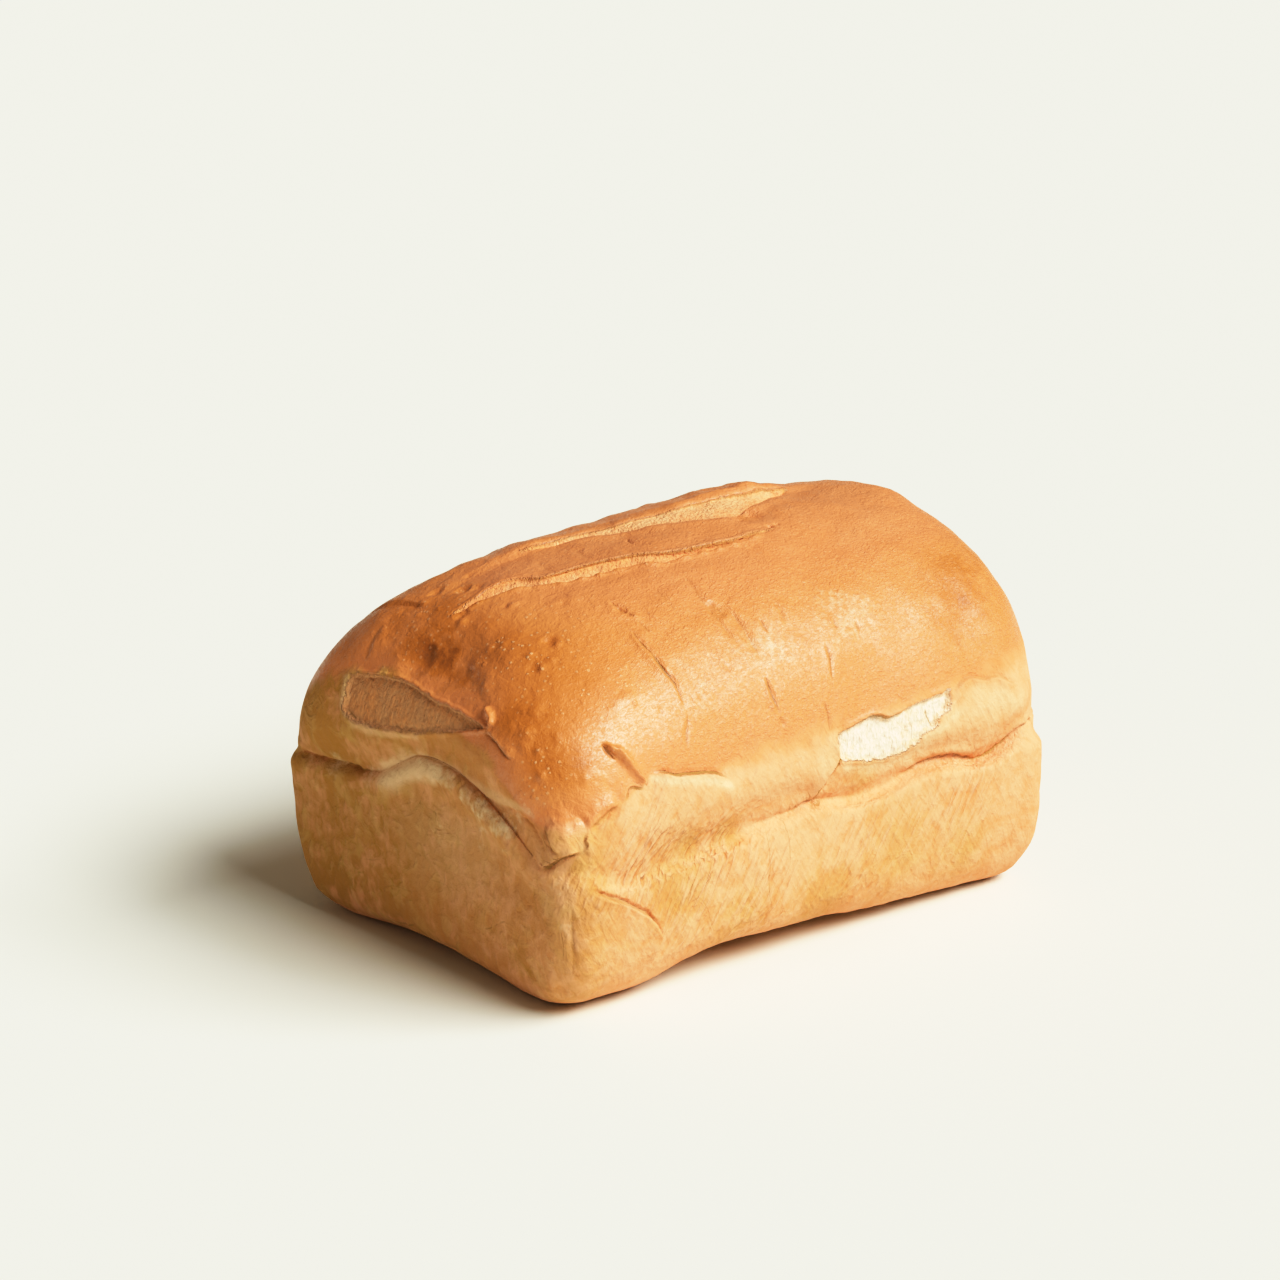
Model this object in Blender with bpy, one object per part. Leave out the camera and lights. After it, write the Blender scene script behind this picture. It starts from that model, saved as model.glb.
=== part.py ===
"""A white tin loaf with two long cuts on its crown, as one solid of bread.

The lower part has the tapered walls of its baking tin. Above the fold the crown has risen over
the rim, swells past the walls, and is torn open along two cuts and in patches beside the fold.

All sizes are in metres. The origin is under the middle of the loaf, on the table. +X runs along
the loaf, +Z is up, and the side at -Y is the long side with the torn strip.
"""

import bmesh
import bpy
import numpy as np

NAME = "loaf"

# Tin part, from the table up to the fold
FOLD_HEIGHT = 0.0519  # mean height of the fold
BASE_LENGTH = 0.1923  # footprint, before the lower edge is rounded
BASE_WIDTH = 0.1219
TIN_LENGTH = 0.2012  # at the fold
TIN_WIDTH = 0.1471
WALL_CURVE = 4.3  # how early the walls reach their full width
EDGE_RADIUS = 0.0094  # lower edge
CORNER_RADIUS = 0.010  # upright corners, as in the tin
FOLD_TUCK = 0.0019  # how far the walls are drawn in at the fold

# Crown, above the fold
CROWN_HEIGHT = 0.1230  # top of the crown over the table
CROWN_WIDTH = 0.1485
CROWN_REACH = 0.1041  # half length of the crown
SPINE_LEFT = 0.0489  # half lengths of the level spine at the top
SPINE_RIGHT = 0.0762
END_FALL_LEFT = 0.67  # exponents: smaller is a blunter end
END_FALL_RIGHT = 0.46
ARCH = 0.75  # exponent of the cross-section, smaller is squarer
CROWN_CORNER = 0.027  # corner radius of the crown in plan
DROOP_LEFT = 0.0131  # how much lower the crown is at its ends
DROOP_RIGHT = 0.0028
DROOP_CURVE_LEFT = 1.35
DROOP_CURVE_RIGHT = 1.75
HUMP_HEIGHT = 0.0014  # a low hump right of the middle
HUMP_PLACE = 0.026
HUMP_WIDTH = 0.032
SWELL_ANGLE = 0.22  # part of the crown's arc over which it swells out of the fold

# Height of the fold over its mean, along each side: (place, offset)
FOLD_NEAR = ((-0.104, -0.001), (-0.092, -0.006), (-0.080, -0.009), (-0.060, -0.007), (-0.018, -0.002),
             (-0.003, 0.0), (0.018, -0.0032), (0.050, 0.0016), (0.070, -0.0024), (0.088, 0.004),
             (0.104, 0.002))
FOLD_LEFT = ((-0.074, -0.002), (-0.060, -0.002), (-0.042, 0.0095), (-0.022, 0.018), (-0.004, 0.019),
             (0.008, 0.014), (0.018, 0.008), (0.037, 0.004), (0.063, 0.0015), (0.074, 0.001))
FOLD_FAR = ((-0.104, 0.001), (-0.070, -0.003), (-0.030, 0.002), (0.010, 0.004), (0.050, -0.002),
            (0.104, 0.0))
FOLD_RIGHT = ((-0.074, 0.001), (-0.040, 0.004), (-0.010, 0.010), (0.025, 0.008), (0.050, 0.002),
              (0.074, 0.0))
FOLD_REACH = 0.050  # height over which the crown takes up the fold's rise and fall

# The crown overhangs the wall just above the fold: (place, overhang)
LIP_NEAR = ((-0.104, 0.0010), (-0.080, 0.0), (-0.030, 0.0), (-0.005, 0.0010), (0.020, 0.0016),
            (0.070, 0.0022), (0.104, 0.0016))
LIP_LEFT = ((-0.074, 0.0006), (-0.050, 0.0014), (0.0, 0.0020), (0.050, 0.0018), (0.074, 0.0008))
LIP_THICKNESS = 0.009

# The lower edge is off the table along the near side and the left end
LIFT_NEAR = 0.0069
LIFT_NEAR_SPAN = (-0.069, 0.095)
LIFT_LEFT = 0.0036
LIFT_LEFT_SPAN = (-0.041, 0.045)
LIFT_FADE = 0.030  # height at which the lifts have faded
LIFT_DEPTH = 0.024  # how far in under the loaf they reach

# The two cuts on the crown: (x, y) from end to end, and their width and depth
CUT_NEAR = ((-0.075, 0.006), (-0.062, 0.001), (-0.040, -0.009), (-0.010, -0.017), (0.030, -0.017))
CUT_FAR = ((-0.036, 0.019), (-0.016, 0.014), (0.003, 0.007), (0.017, 0.003), (0.035, 0.005), (0.052, 0.009))
CUT_NEAR_WIDTH = 0.0066
CUT_FAR_WIDTH = 0.0100
CUT_DEPTH = 0.0024
# How far the crust curls up before and behind each cut, and how far that reaches
CUT_NEAR_LIPS = (0.0005, 0.0012)
CUT_FAR_LIPS = (0.0002, 0.0026)
CUT_NEAR_LIP_WIDTH = 0.006
CUT_FAR_LIP_WIDTH = 0.014

# Torn patches, as (place along the side, height) outlines of the middle line, with width and depth
TEAR_NEAR = ((0.009, 0.067), (0.028, 0.067), (0.044, 0.071), (0.053, 0.075))
TEAR_NEAR_WIDTH = 0.0062
TEAR_LEFT = ((0.037, 0.082), (0.020, 0.0825), (0.0, 0.0835), (-0.028, 0.085))
TEAR_LEFT_WIDTH = 0.0062
TEAR_DEPTH = 0.0010

# Lump in the lower near-left corner, and the ear of crust over it
LUMP_EDGE = ((-0.092, 0.044), (-0.078, 0.037), (-0.068, 0.029), (-0.066, 0.021), (-0.063, 0.010))
LUMP_EDGE_WIDTH = 0.005
LUMP_EDGE_DEPTH = 0.0010
EAR_PLACE = (-0.096, -0.066, 0.060)
EAR_RADIUS = 0.011
EAR_HEIGHT = 0.0022

# Grid of the mesh, on the cube that is shaped into the loaf
FOLD_LEVEL = -0.1  # cube height of the fold
EDGE_SHARE = 0.2  # share of the wall's rows on the rounded lower edge
TOP_ARC = 0.6 * np.pi / 2  # arc of the crown that lies on the cube's upright sides
CUT_ROW_NEAR = -0.010  # the grid rows that are led along the cuts start here
CUT_ROW_FAR = 0.020

CRUST_COLOUR = (0.62, 0.27, 0.075, 1.0)
CRUST_ROUGHNESS = 0.42


def smooth(t):
    """0 to 1 with level ends, from t between 0 and 1."""
    t = np.clip(t, 0.0, 1.0)
    return t * t * (3.0 - 2.0 * t)


def along(t, knots):
    """A value read between (place, value) knots, with its corners softened."""
    places, values = np.array(knots).T
    soft = 0.006
    return sum(np.interp(t + shift * soft, places, values) for shift in (-1.0, -0.5, 0.0, 0.5, 1.0)) / 5.0


def rounded(u, v, half_x, half_y, radius):
    """A point on the unit square, carried to a rectangle with round corners."""
    radius = np.minimum(radius, np.minimum(half_x, half_y) * 0.999)
    x, y = u * half_x, v * half_y
    core_x = np.clip(x, radius - half_x, half_x - radius)
    core_y = np.clip(y, radius - half_y, half_y - radius)
    away = np.hypot(x - core_x, y - core_y)
    in_corner = (np.abs(x) > half_x - radius) & (np.abs(y) > half_y - radius) & (away > 1e-9)
    scale = np.where(in_corner, radius / np.maximum(away, 1e-9), 1.0)
    return core_x + (x - core_x) * scale, core_y + (y - core_y) * scale


def crown_ring(share, side):
    """Half sizes and corner radius of the crown's level ring, from share 1 at the fold to 0 at the spine."""
    share = np.maximum(share, 0.0)
    left = SPINE_LEFT + (CROWN_REACH - SPINE_LEFT) * share ** END_FALL_LEFT
    right = SPINE_RIGHT + (CROWN_REACH - SPINE_RIGHT) * share ** END_FALL_RIGHT
    half_x = np.where(side < 0, left, right)
    half_y = CROWN_WIDTH / 2 * share
    return half_x, half_y, np.minimum(CROWN_CORNER, half_y * 0.999)


def crown_share(x, y):
    """Which level ring of the crown passes over (x, y), found by halving."""
    low, high = np.zeros_like(x), np.ones_like(x)
    for _ in range(32):
        middle = (low + high) / 2
        half_x, half_y, radius = crown_ring(middle, x)
        over_x, over_y = np.abs(x) - (half_x - radius), np.abs(y) - (half_y - radius)
        gap = np.hypot(np.maximum(over_x, 0), np.maximum(over_y, 0))
        outside = gap + np.minimum(np.maximum(over_x, over_y), 0) > radius
        low, high = np.where(outside, middle, low), np.where(outside, high, middle)
    return high


def crown_height(share, x):
    """Height of a point on the crown's ring, lower towards the ends of the loaf."""
    rise = np.sqrt(np.maximum(1.0 - share * share, 0.0)) ** ARCH
    end = np.clip(np.abs(x) / CROWN_REACH, 0.0, 1.0)
    droop = np.where(x < 0, DROOP_LEFT * end ** DROOP_CURVE_LEFT, DROOP_RIGHT * end ** DROOP_CURVE_RIGHT)
    hump = HUMP_HEIGHT * rise ** 4 * np.exp(-(((x - HUMP_PLACE) / HUMP_WIDTH) ** 2))
    return FOLD_HEIGHT + (CROWN_HEIGHT - FOLD_HEIGHT - droop) * rise + hump


def lead_rows(x, y):
    """Leads the grid's rows along the two cuts, and back to straight at the crown's ends."""
    half = CROWN_WIDTH / 2 * np.cos(TOP_ARC)
    fade = smooth((0.085 - np.abs(x)) / 0.030)
    near = CUT_ROW_NEAR + fade * (along(x, CUT_NEAR) - CUT_ROW_NEAR)
    far = CUT_ROW_FAR + fade * (along(x, CUT_FAR) - CUT_ROW_FAR)
    below = (y + half) / (CUT_ROW_NEAR + half) * (near + half) - half
    between = near + (y - CUT_ROW_NEAR) / (CUT_ROW_FAR - CUT_ROW_NEAR) * (far - near)
    above = half - (half - y) / (half - CUT_ROW_FAR) * (half - far)
    led = np.where(y < CUT_ROW_NEAR, below, np.where(y < CUT_ROW_FAR, between, above))
    return np.where(np.abs(y) < half, led, y)


def wall(u, v, w):
    """The tin's walls, with the rounded lower edge and the tuck at the fold."""
    t = (w + 1.0) / (FOLD_LEVEL + 1.0)
    angle = np.clip(t / EDGE_SHARE, 0.0, 1.0) * np.pi / 2
    straight = EDGE_RADIUS + (t - EDGE_SHARE) / (1.0 - EDGE_SHARE) * (FOLD_HEIGHT - EDGE_RADIUS)
    z = np.where(t < EDGE_SHARE, EDGE_RADIUS * (1.0 - np.cos(angle)), straight)
    share = np.clip(z / FOLD_HEIGHT, 0.0, 1.0)
    widening = 1.0 - (1.0 - share) ** WALL_CURVE
    inset = EDGE_RADIUS * (1.0 - np.sin(angle)) + FOLD_TUCK * smooth((share - 0.9) / 0.1)
    half_x = (BASE_LENGTH + (TIN_LENGTH - BASE_LENGTH) * widening) / 2 - inset
    half_y = (BASE_WIDTH + (TIN_WIDTH - BASE_WIDTH) * widening) / 2 - inset
    x, y = rounded(u, v, half_x, half_y, np.full_like(half_x, CORNER_RADIUS))
    return x, y, z


def crown_side(u, v, w):
    """The steep part of the crown, which swells out of the fold."""
    arc = np.clip((w - FOLD_LEVEL) / (1.0 - FOLD_LEVEL), 0.0, 1.0) * TOP_ARC
    share = np.cos(arc)
    half_x, half_y, radius = crown_ring(share, u)
    tucked = (1.0 - np.clip(arc / SWELL_ANGLE, 0.0, 1.0)) ** 2
    half_x = half_x + (TIN_LENGTH / 2 - FOLD_TUCK - half_x) * tucked
    half_y = half_y + (TIN_WIDTH / 2 - FOLD_TUCK - half_y) * tucked
    radius = radius + (CORNER_RADIUS - radius) * tucked
    x, y = rounded(u, v, half_x, half_y, radius)
    return x, y, crown_height(share, x)


def crown_top(u, v, reach):
    """The upper part of the crown, as heights over a plan grid."""
    half_x, half_y, radius = crown_ring(np.full_like(u, np.cos(TOP_ARC)), u)
    x, y = rounded(u, v, half_x * reach, half_y * reach, np.maximum(radius * reach * reach, 1e-6))
    y = lead_rows(x, y)
    return x, y, crown_height(crown_share(x, y), x)


def underside(u, v, reach):
    """The flat bottom inside the rounded lower edge."""
    half_x = reach * (BASE_LENGTH / 2 - EDGE_RADIUS)
    half_y = reach * (BASE_WIDTH / 2 - EDGE_RADIUS)
    x, y = rounded(u, v, half_x, half_y, np.maximum(CORNER_RADIUS * reach * reach, 1e-6))
    return x, y, np.zeros_like(x)


def shape(cube):
    """Carries points of the cube from -1 to 1 onto the loaf's plain form."""
    u, v, w = cube.T
    reach = np.maximum(np.abs(u), np.abs(v))
    unit = np.maximum(reach, 1e-9)
    ring_u, ring_v = u / unit, v / unit
    on_side = reach > 1.0 - 1e-6
    zones = (
        (on_side & (w <= FOLD_LEVEL), wall(ring_u, ring_v, w)),
        (on_side & (w > FOLD_LEVEL), crown_side(ring_u, ring_v, w)),
        (~on_side & (w > 0), crown_top(ring_u, ring_v, reach)),
        (~on_side & (w < 0), underside(ring_u, ring_v, reach)),
    )
    placed = np.zeros_like(cube)
    for chosen, place in zones:
        placed[chosen] = np.stack(place, 1)[chosen]
    return placed


def side_weights(p):
    """How much a point belongs to the near, left, far and right side of the loaf."""
    left = smooth((-p[:, 0] / CROWN_REACH - 0.72) / 0.22)
    right = smooth((p[:, 0] / CROWN_REACH - 0.72) / 0.22)
    near = smooth((-p[:, 1] / (CROWN_WIDTH / 2) - 0.55) / 0.35) * (1 - left) * (1 - right)
    far = smooth((p[:, 1] / (CROWN_WIDTH / 2) - 0.55) / 0.35) * (1 - left) * (1 - right)
    return near, left, far, right


def fold_offset(p):
    """How far the fold is above or below its mean height beside each point."""
    near, left, far, right = side_weights(p)
    offset = near * along(p[:, 0], FOLD_NEAR) + far * along(p[:, 0], FOLD_FAR)
    return offset + left * along(p[:, 1], FOLD_LEFT) + right * along(p[:, 1], FOLD_RIGHT)


def path_distance(a, b, path):
    """Distance of the points (a, b) from a path of corners, and how far along it they are, 0 to 1."""
    path = np.array(path)
    lengths = np.linalg.norm(np.diff(path, axis=0), axis=1)
    starts = np.concatenate([[0.0], np.cumsum(lengths)])
    nearest, place = np.full(a.shape, 1e9), np.zeros(a.shape)
    for i, (start, end) in enumerate(zip(path[:-1], path[1:])):
        step = end - start
        t = np.clip(((a - start[0]) * step[0] + (b - start[1]) * step[1]) / (step @ step), 0.0, 1.0)
        away = np.hypot(a - start[0] - t * step[0], b - start[1] - t * step[1])
        closer = away < nearest
        nearest = np.where(closer, away, nearest)
        place = np.where(closer, (starts[i] + t * lengths[i]) / starts[-1], place)
    return nearest, place


def follow_fold(p):
    """Lets the fold rise and fall round the loaf."""
    fading = np.where(p[:, 2] < FOLD_HEIGHT, smooth(p[:, 2] / FOLD_HEIGHT),
                      1.0 - smooth((p[:, 2] - FOLD_HEIGHT) / FOLD_REACH))
    p[:, 2] += fold_offset(p) * fading


def overhang(p, normals):
    """Pushes the crown out over the wall just above the fold."""
    near, left, far, right = side_weights(p)
    above = p[:, 2] - FOLD_HEIGHT - fold_offset(p)
    bulge = np.where(above > 0, smooth(above / 0.003) * np.exp(-np.maximum(above, 0) / LIP_THICKNESS), 0.0)
    amount = (near + far) * along(p[:, 0], LIP_NEAR) + (left + right) * along(p[:, 1], LIP_LEFT)
    p += normals * (bulge * amount)[:, None]


def open_cuts(p):
    """Sinks the two cuts into the crown and curls their lips."""
    cuts = ((CUT_NEAR, CUT_NEAR_WIDTH, CUT_NEAR_LIPS, CUT_NEAR_LIP_WIDTH),
            (CUT_FAR, CUT_FAR_WIDTH, CUT_FAR_LIPS, CUT_FAR_LIP_WIDTH))
    for path, width, (lip_before, lip_behind), lip_width in cuts:
        away, place = path_distance(p[:, 0], p[:, 1], path)
        behind = smooth(0.5 + (p[:, 1] - along(p[:, 0], path)) / width)
        lip = lip_before + (lip_behind - lip_before) * behind
        half = width / 2 * np.sin(np.pi * np.clip(place, 0.02, 0.98)) ** 0.5
        groove = 1.0 - smooth(away / half)
        curl = smooth(away / half) * (1.0 - smooth((away - half) / lip_width))
        ends = smooth(place / 0.12) * smooth((1.0 - place) / 0.12)
        high = smooth((p[:, 2] - 0.085) / 0.01)
        p[:, 2] += (lip * curl - CUT_DEPTH * groove) * ends * high


def sink(p, normals, chosen, distance, half_width, depth):
    """Lowers a strip of the surface along its normals."""
    p -= normals * (chosen * depth * (1.0 - smooth(distance / half_width)))[:, None]


def tear_and_dent(p, normals):
    """The torn patches beside the fold, the soft edge of the lump, and the ear over the corner."""
    on_near = p[:, 1] < -CROWN_WIDTH / 4
    on_left = (p[:, 0] < -CROWN_REACH / 2) & (np.abs(p[:, 1]) < CROWN_WIDTH * 0.4)
    from_tear_near = path_distance(p[:, 0], p[:, 2], TEAR_NEAR)[0]
    from_tear_left = path_distance(p[:, 1], p[:, 2], TEAR_LEFT)[0]
    from_lump = path_distance(p[:, 0], p[:, 2], LUMP_EDGE)[0]
    sink(p, normals, on_near, from_tear_near, TEAR_NEAR_WIDTH, TEAR_DEPTH)
    sink(p, normals, on_left, from_tear_left, TEAR_LEFT_WIDTH, TEAR_DEPTH)
    sink(p, normals, on_near, from_lump, LUMP_EDGE_WIDTH, LUMP_EDGE_DEPTH)
    from_ear = np.linalg.norm(p - np.array(EAR_PLACE), axis=1)
    p += normals * (EAR_HEIGHT * (1.0 - smooth(from_ear / EAR_RADIUS)))[:, None]


def lift_edge(p):
    """Raises the lower edge off the table along the near side and the left end."""
    fade = np.clip(1.0 - p[:, 2] / LIFT_FADE, 0.0, 1.0) ** 1.5
    start, end = LIFT_NEAR_SPAN
    t = np.clip((p[:, 0] - start) / (end - start), 0.0, 1.0)
    arch_near = LIFT_NEAR * smooth(t / 0.22) * (1.0 - np.clip((t - 0.22) / 0.78, 0.0, 1.0) ** 1.3)
    under_near = smooth(1.0 - (p[:, 1] + BASE_WIDTH / 2) / LIFT_DEPTH)
    start, end = LIFT_LEFT_SPAN
    arch_left = LIFT_LEFT * np.sin(np.pi * np.clip((p[:, 1] - start) / (end - start), 0.0, 1.0))
    under_left = smooth(1.0 - (p[:, 0] + BASE_LENGTH / 2) / LIFT_DEPTH)
    p[:, 2] += fade * (arch_near * under_near + arch_left * under_left)


def grid_lines(stops, counts):
    """Grid places between stops, with the stated number of steps between each two."""
    lines = [stops[0]]
    for start, end, count in zip(stops[:-1], stops[1:], counts):
        lines += [start + (end - start) * (i + 1) / count for i in range(count)]
    return lines[1:-1]


def gridded_cube():
    """A cube from -1 to 1, cut along the grid's planes."""
    lines = (
        grid_lines((-1.0, -0.9, 0.9, 1.0), (3, 28, 3)),
        grid_lines((-1.0, -0.87, -0.34, -0.12, 0.34, 0.58, 0.87, 1.0), (3, 5, 5, 4, 6, 2, 3)),
        grid_lines((-1.0, -0.82, FOLD_LEVEL - 0.1, FOLD_LEVEL, FOLD_LEVEL + 0.12, 1.0), (3, 6, 2, 3, 8)),
    )
    bm = bmesh.new()
    bmesh.ops.create_cube(bm, size=2.0)
    for axis, places in enumerate(lines):
        normal = [0.0, 0.0, 0.0]
        normal[axis] = 1.0
        for place in places:
            geom = bm.verts[:] + bm.edges[:] + bm.faces[:]
            bmesh.ops.bisect_plane(bm, geom=geom, plane_co=[place * n for n in normal], plane_no=normal)
    return bm


def move_points(bm, points):
    """Puts the mesh's vertices at the given points."""
    for vertex, point in zip(bm.verts, points):
        vertex.co = point
    bm.normal_update()


def flatten_underside(bm):
    """Joins the faces that lie flat on the table into one."""
    flat = [f for f in bm.faces if all(abs(v.co.z) < 1e-7 for v in f.verts)]
    bmesh.ops.dissolve_faces(bm, faces=flat, use_verts=True)


def centre(points):
    """Puts the middle of the loaf's box over the origin and its lowest points on the table."""
    low, high = points.min(0), points.max(0)
    points -= np.array([(low[0] + high[0]) / 2, (low[1] + high[1]) / 2, low[2]])


def crust_material():
    material = bpy.data.materials.new("crust")
    material.use_nodes = True
    shader = material.node_tree.nodes["Principled BSDF"]
    shader.inputs["Base Color"].default_value = CRUST_COLOUR
    shader.inputs["Roughness"].default_value = CRUST_ROUGHNESS
    shader.inputs["Metallic"].default_value = 0.0
    return material


def loaf(collection):
    """The loaf itself: the gridded cube, shaped, folded, cut and torn."""
    bm = gridded_cube()
    points = shape(np.array([v.co for v in bm.verts]))
    follow_fold(points)
    lift_edge(points)
    move_points(bm, points)
    normals = np.array([v.normal for v in bm.verts])
    overhang(points, normals)
    tear_and_dent(points, normals)
    open_cuts(points)
    centre(points)
    move_points(bm, points)
    flatten_underside(bm)
    bmesh.ops.recalc_face_normals(bm, faces=bm.faces[:])
    mesh = bpy.data.meshes.new(NAME)
    bm.to_mesh(mesh)
    bm.free()
    mesh.shade_smooth()
    mesh.materials.append(crust_material())
    collection.objects.link(bpy.data.objects.new(NAME, mesh))


def main():
    for leftover in list(bpy.data.objects):
        bpy.data.objects.remove(leftover)
    collection = bpy.data.collections.new("tin_loaf")
    bpy.context.scene.collection.children.link(collection)
    loaf(collection)


main()
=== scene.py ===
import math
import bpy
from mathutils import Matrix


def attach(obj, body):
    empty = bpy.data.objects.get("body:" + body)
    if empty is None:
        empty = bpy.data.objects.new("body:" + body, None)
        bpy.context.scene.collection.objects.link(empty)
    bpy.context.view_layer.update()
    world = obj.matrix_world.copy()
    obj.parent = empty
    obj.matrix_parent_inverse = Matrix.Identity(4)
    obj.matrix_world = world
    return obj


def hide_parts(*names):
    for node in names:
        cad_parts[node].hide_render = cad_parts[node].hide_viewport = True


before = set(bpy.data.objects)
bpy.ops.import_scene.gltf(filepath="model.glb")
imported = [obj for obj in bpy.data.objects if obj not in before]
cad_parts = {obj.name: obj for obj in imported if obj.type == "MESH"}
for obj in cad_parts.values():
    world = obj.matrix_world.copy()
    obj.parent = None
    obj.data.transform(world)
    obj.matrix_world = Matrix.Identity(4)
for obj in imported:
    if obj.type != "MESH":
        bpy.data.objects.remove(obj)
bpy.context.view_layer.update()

# An uncut white tin loaf. Its tapered walls were baked against the tin, the crown rose over the rim,
# and the browned crust tore open along two cuts and in patches beside the fold.
# Sizes are in metres. +X runs along the loaf, the near side is at -Y and the left end at -X.
# Names that end in _SEEN hold places as pixels of the 1280-pixel picture, which are carried onto the loaf.

from types import SimpleNamespace

import bmesh
import bpy
import numpy as np
from mathutils import Vector, noise
from mathutils.bvhtree import BVHTree
from mathutils.kdtree import KDTree

# Camera
PICTURE = 1280
CAMERA_TURN = math.radians(-39.63)
CAMERA_RISE = math.radians(17.88)
CAMERA_AWAY = 1.53963
CAMERA_LENS = 135.0
CAMERA_SENSOR = 36.0
# Width of a pixel, for each metre away from the camera
PIXEL_SPREAD = CAMERA_SENSOR / CAMERA_LENS / PICTURE
CAMERA_REACH = 50.0
AIM_HEIGHT = 0.060
AIM_RIGHT = -0.0097
AIM_UP = 0.02445

# Light and floor
LAMPS = ((math.radians(-46), 1.75), (math.radians(-80), 2.25))
LAMP_RISE = math.radians(43)
LAMP_SOFTNESS = math.radians(30)
LAMP_COLOUR = (0.93, 0.965, 1.0)
SKY_COLOUR = (1.0, 0.84, 0.66, 1.0)
SKY_STRENGTH = 0.20
# How the picture's brightness follows the light, with the gentle contrast of a product photograph
PICTURE_CURVE = ((0.0, 0.0), (0.05, 0.027), (0.15, 0.112), (0.30, 0.295), (0.60, 0.665), (0.85, 0.868),
                 (0.92, 0.896), (1.0, 0.920))
FLOOR_SIZE = 24.0
FLOOR_COLOUR = (0.880, 0.887, 0.775, 1.0)

# Tin part, from the table up to the fold
FOLD_HEIGHT = 0.0519
BASE_LENGTH = 0.1923
BASE_WIDTH = 0.1219
TIN_LENGTH = 0.2012
TIN_WIDTH = 0.1471
WALL_CURVE = 4.3
EDGE_RADIUS = 0.0094
CORNER_RADIUS = 0.010
FOLD_TUCK = 0.0019
TUCK_START = 0.9  # share of the wall's height at which it turns in under the fold

# Limits of the sums
ALMOST = 0.999
TINY = 1e-9
FAR_AWAY = 1e9
SMALLEST_RADIUS = 1e-6
SMALLEST_WIDTH = 1e-5
ON_CUBE_SIDE = 1.0 - 1e-6

# Crown, above the fold
CROWN_HEIGHT = 0.1230
CROWN_WIDTH = 0.1485
CROWN_REACH = 0.1041
SPINE_LEFT = 0.0489
SPINE_RIGHT = 0.0762
END_FALL_LEFT = 0.67
END_FALL_RIGHT = 0.46
ARCH = 0.75
CROWN_CORNER = 0.027
DROOP_LEFT = 0.0131
DROOP_RIGHT = 0.0028
DROOP_CURVE_LEFT = 1.35
DROOP_CURVE_RIGHT = 1.75
HUMP_HEIGHT = 0.0014
HUMP_PLACE = 0.026
HUMP_WIDTH = 0.032
HUMP_SHARPNESS = 4
SWELL_ANGLE = 0.22
HALVINGS = 32  # steps that find the crown's ring over a point
CROWN_SOFTENED_ABOVE = FOLD_HEIGHT + 0.030
CROWN_SOFTENINGS = 10
# Where the ends and the long sides begin, as shares of the half length and half width, and their blend
END_START = 0.72
END_BLEND = 0.22
SIDE_START = 0.55
SIDE_BLEND = 0.35

# Height of the fold over its mean, along each side: (place, offset)
FOLD_NEAR = ((-0.104, -0.001), (-0.092, -0.006), (-0.080, -0.009), (-0.060, -0.007), (-0.018, -0.002),
             (-0.003, 0.0), (0.018, -0.0032), (0.050, 0.0016), (0.070, -0.0024), (0.088, 0.004),
             (0.104, 0.002))
FOLD_LEFT = ((-0.074, -0.002), (-0.060, -0.002), (-0.042, 0.0095), (-0.022, 0.018), (-0.004, 0.019),
             (0.008, 0.014), (0.018, 0.008), (0.037, 0.004), (0.063, 0.0015), (0.074, 0.001))
FOLD_FAR = ((-0.104, 0.001), (-0.070, -0.003), (-0.030, 0.002), (0.010, 0.004), (0.050, -0.002),
            (0.104, 0.0))
FOLD_RIGHT = ((-0.074, 0.001), (-0.040, 0.004), (-0.010, 0.010), (0.025, 0.008), (0.050, 0.002),
              (0.074, 0.0))
FOLD_REACH = 0.050

# The crown overhangs the wall just above the fold: (place, overhang)
LIP_NEAR = ((-0.104, 0.0010), (-0.080, 0.0), (-0.030, 0.0), (-0.005, 0.0010), (0.020, 0.0016),
            (0.070, 0.0022), (0.104, 0.0016))
LIP_LEFT = ((-0.074, 0.0004), (-0.050, 0.0004), (0.0, 0.0008), (0.030, 0.0014), (0.074, 0.0008))
LIP_THICKNESS = 0.009
LIP_BLEND = 0.003
# How far the left wall stands out just under the fold, where it was not drawn in: (place, amount)
FILL_LEFT = ((-0.074, 0.0), (-0.060, 0.0014), (-0.045, 0.0034), (-0.010, 0.0034), (0.012, 0.0020),
             (0.024, 0.0012), (0.050, 0.0016), (0.066, 0.0012), (0.074, 0.0002))
FILL_HEIGHT = 0.007
FILL_BELOW = 0.003

# The lower edge is off the table along the near side and the left end
LIFT_NEAR = 0.0069
LIFT_NEAR_SPAN = (-0.069, 0.095)
LIFT_LEFT = 0.0036
LIFT_LEFT_SPAN = (-0.041, 0.045)
LIFT_FADE = 0.030
LIFT_FADE_CURVE = 1.5
LIFT_DEPTH = 0.024
LIFT_NEAR_PEAK = 0.22  # share of the near span at which the edge is highest
LIFT_NEAR_CURVE = 1.3

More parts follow.
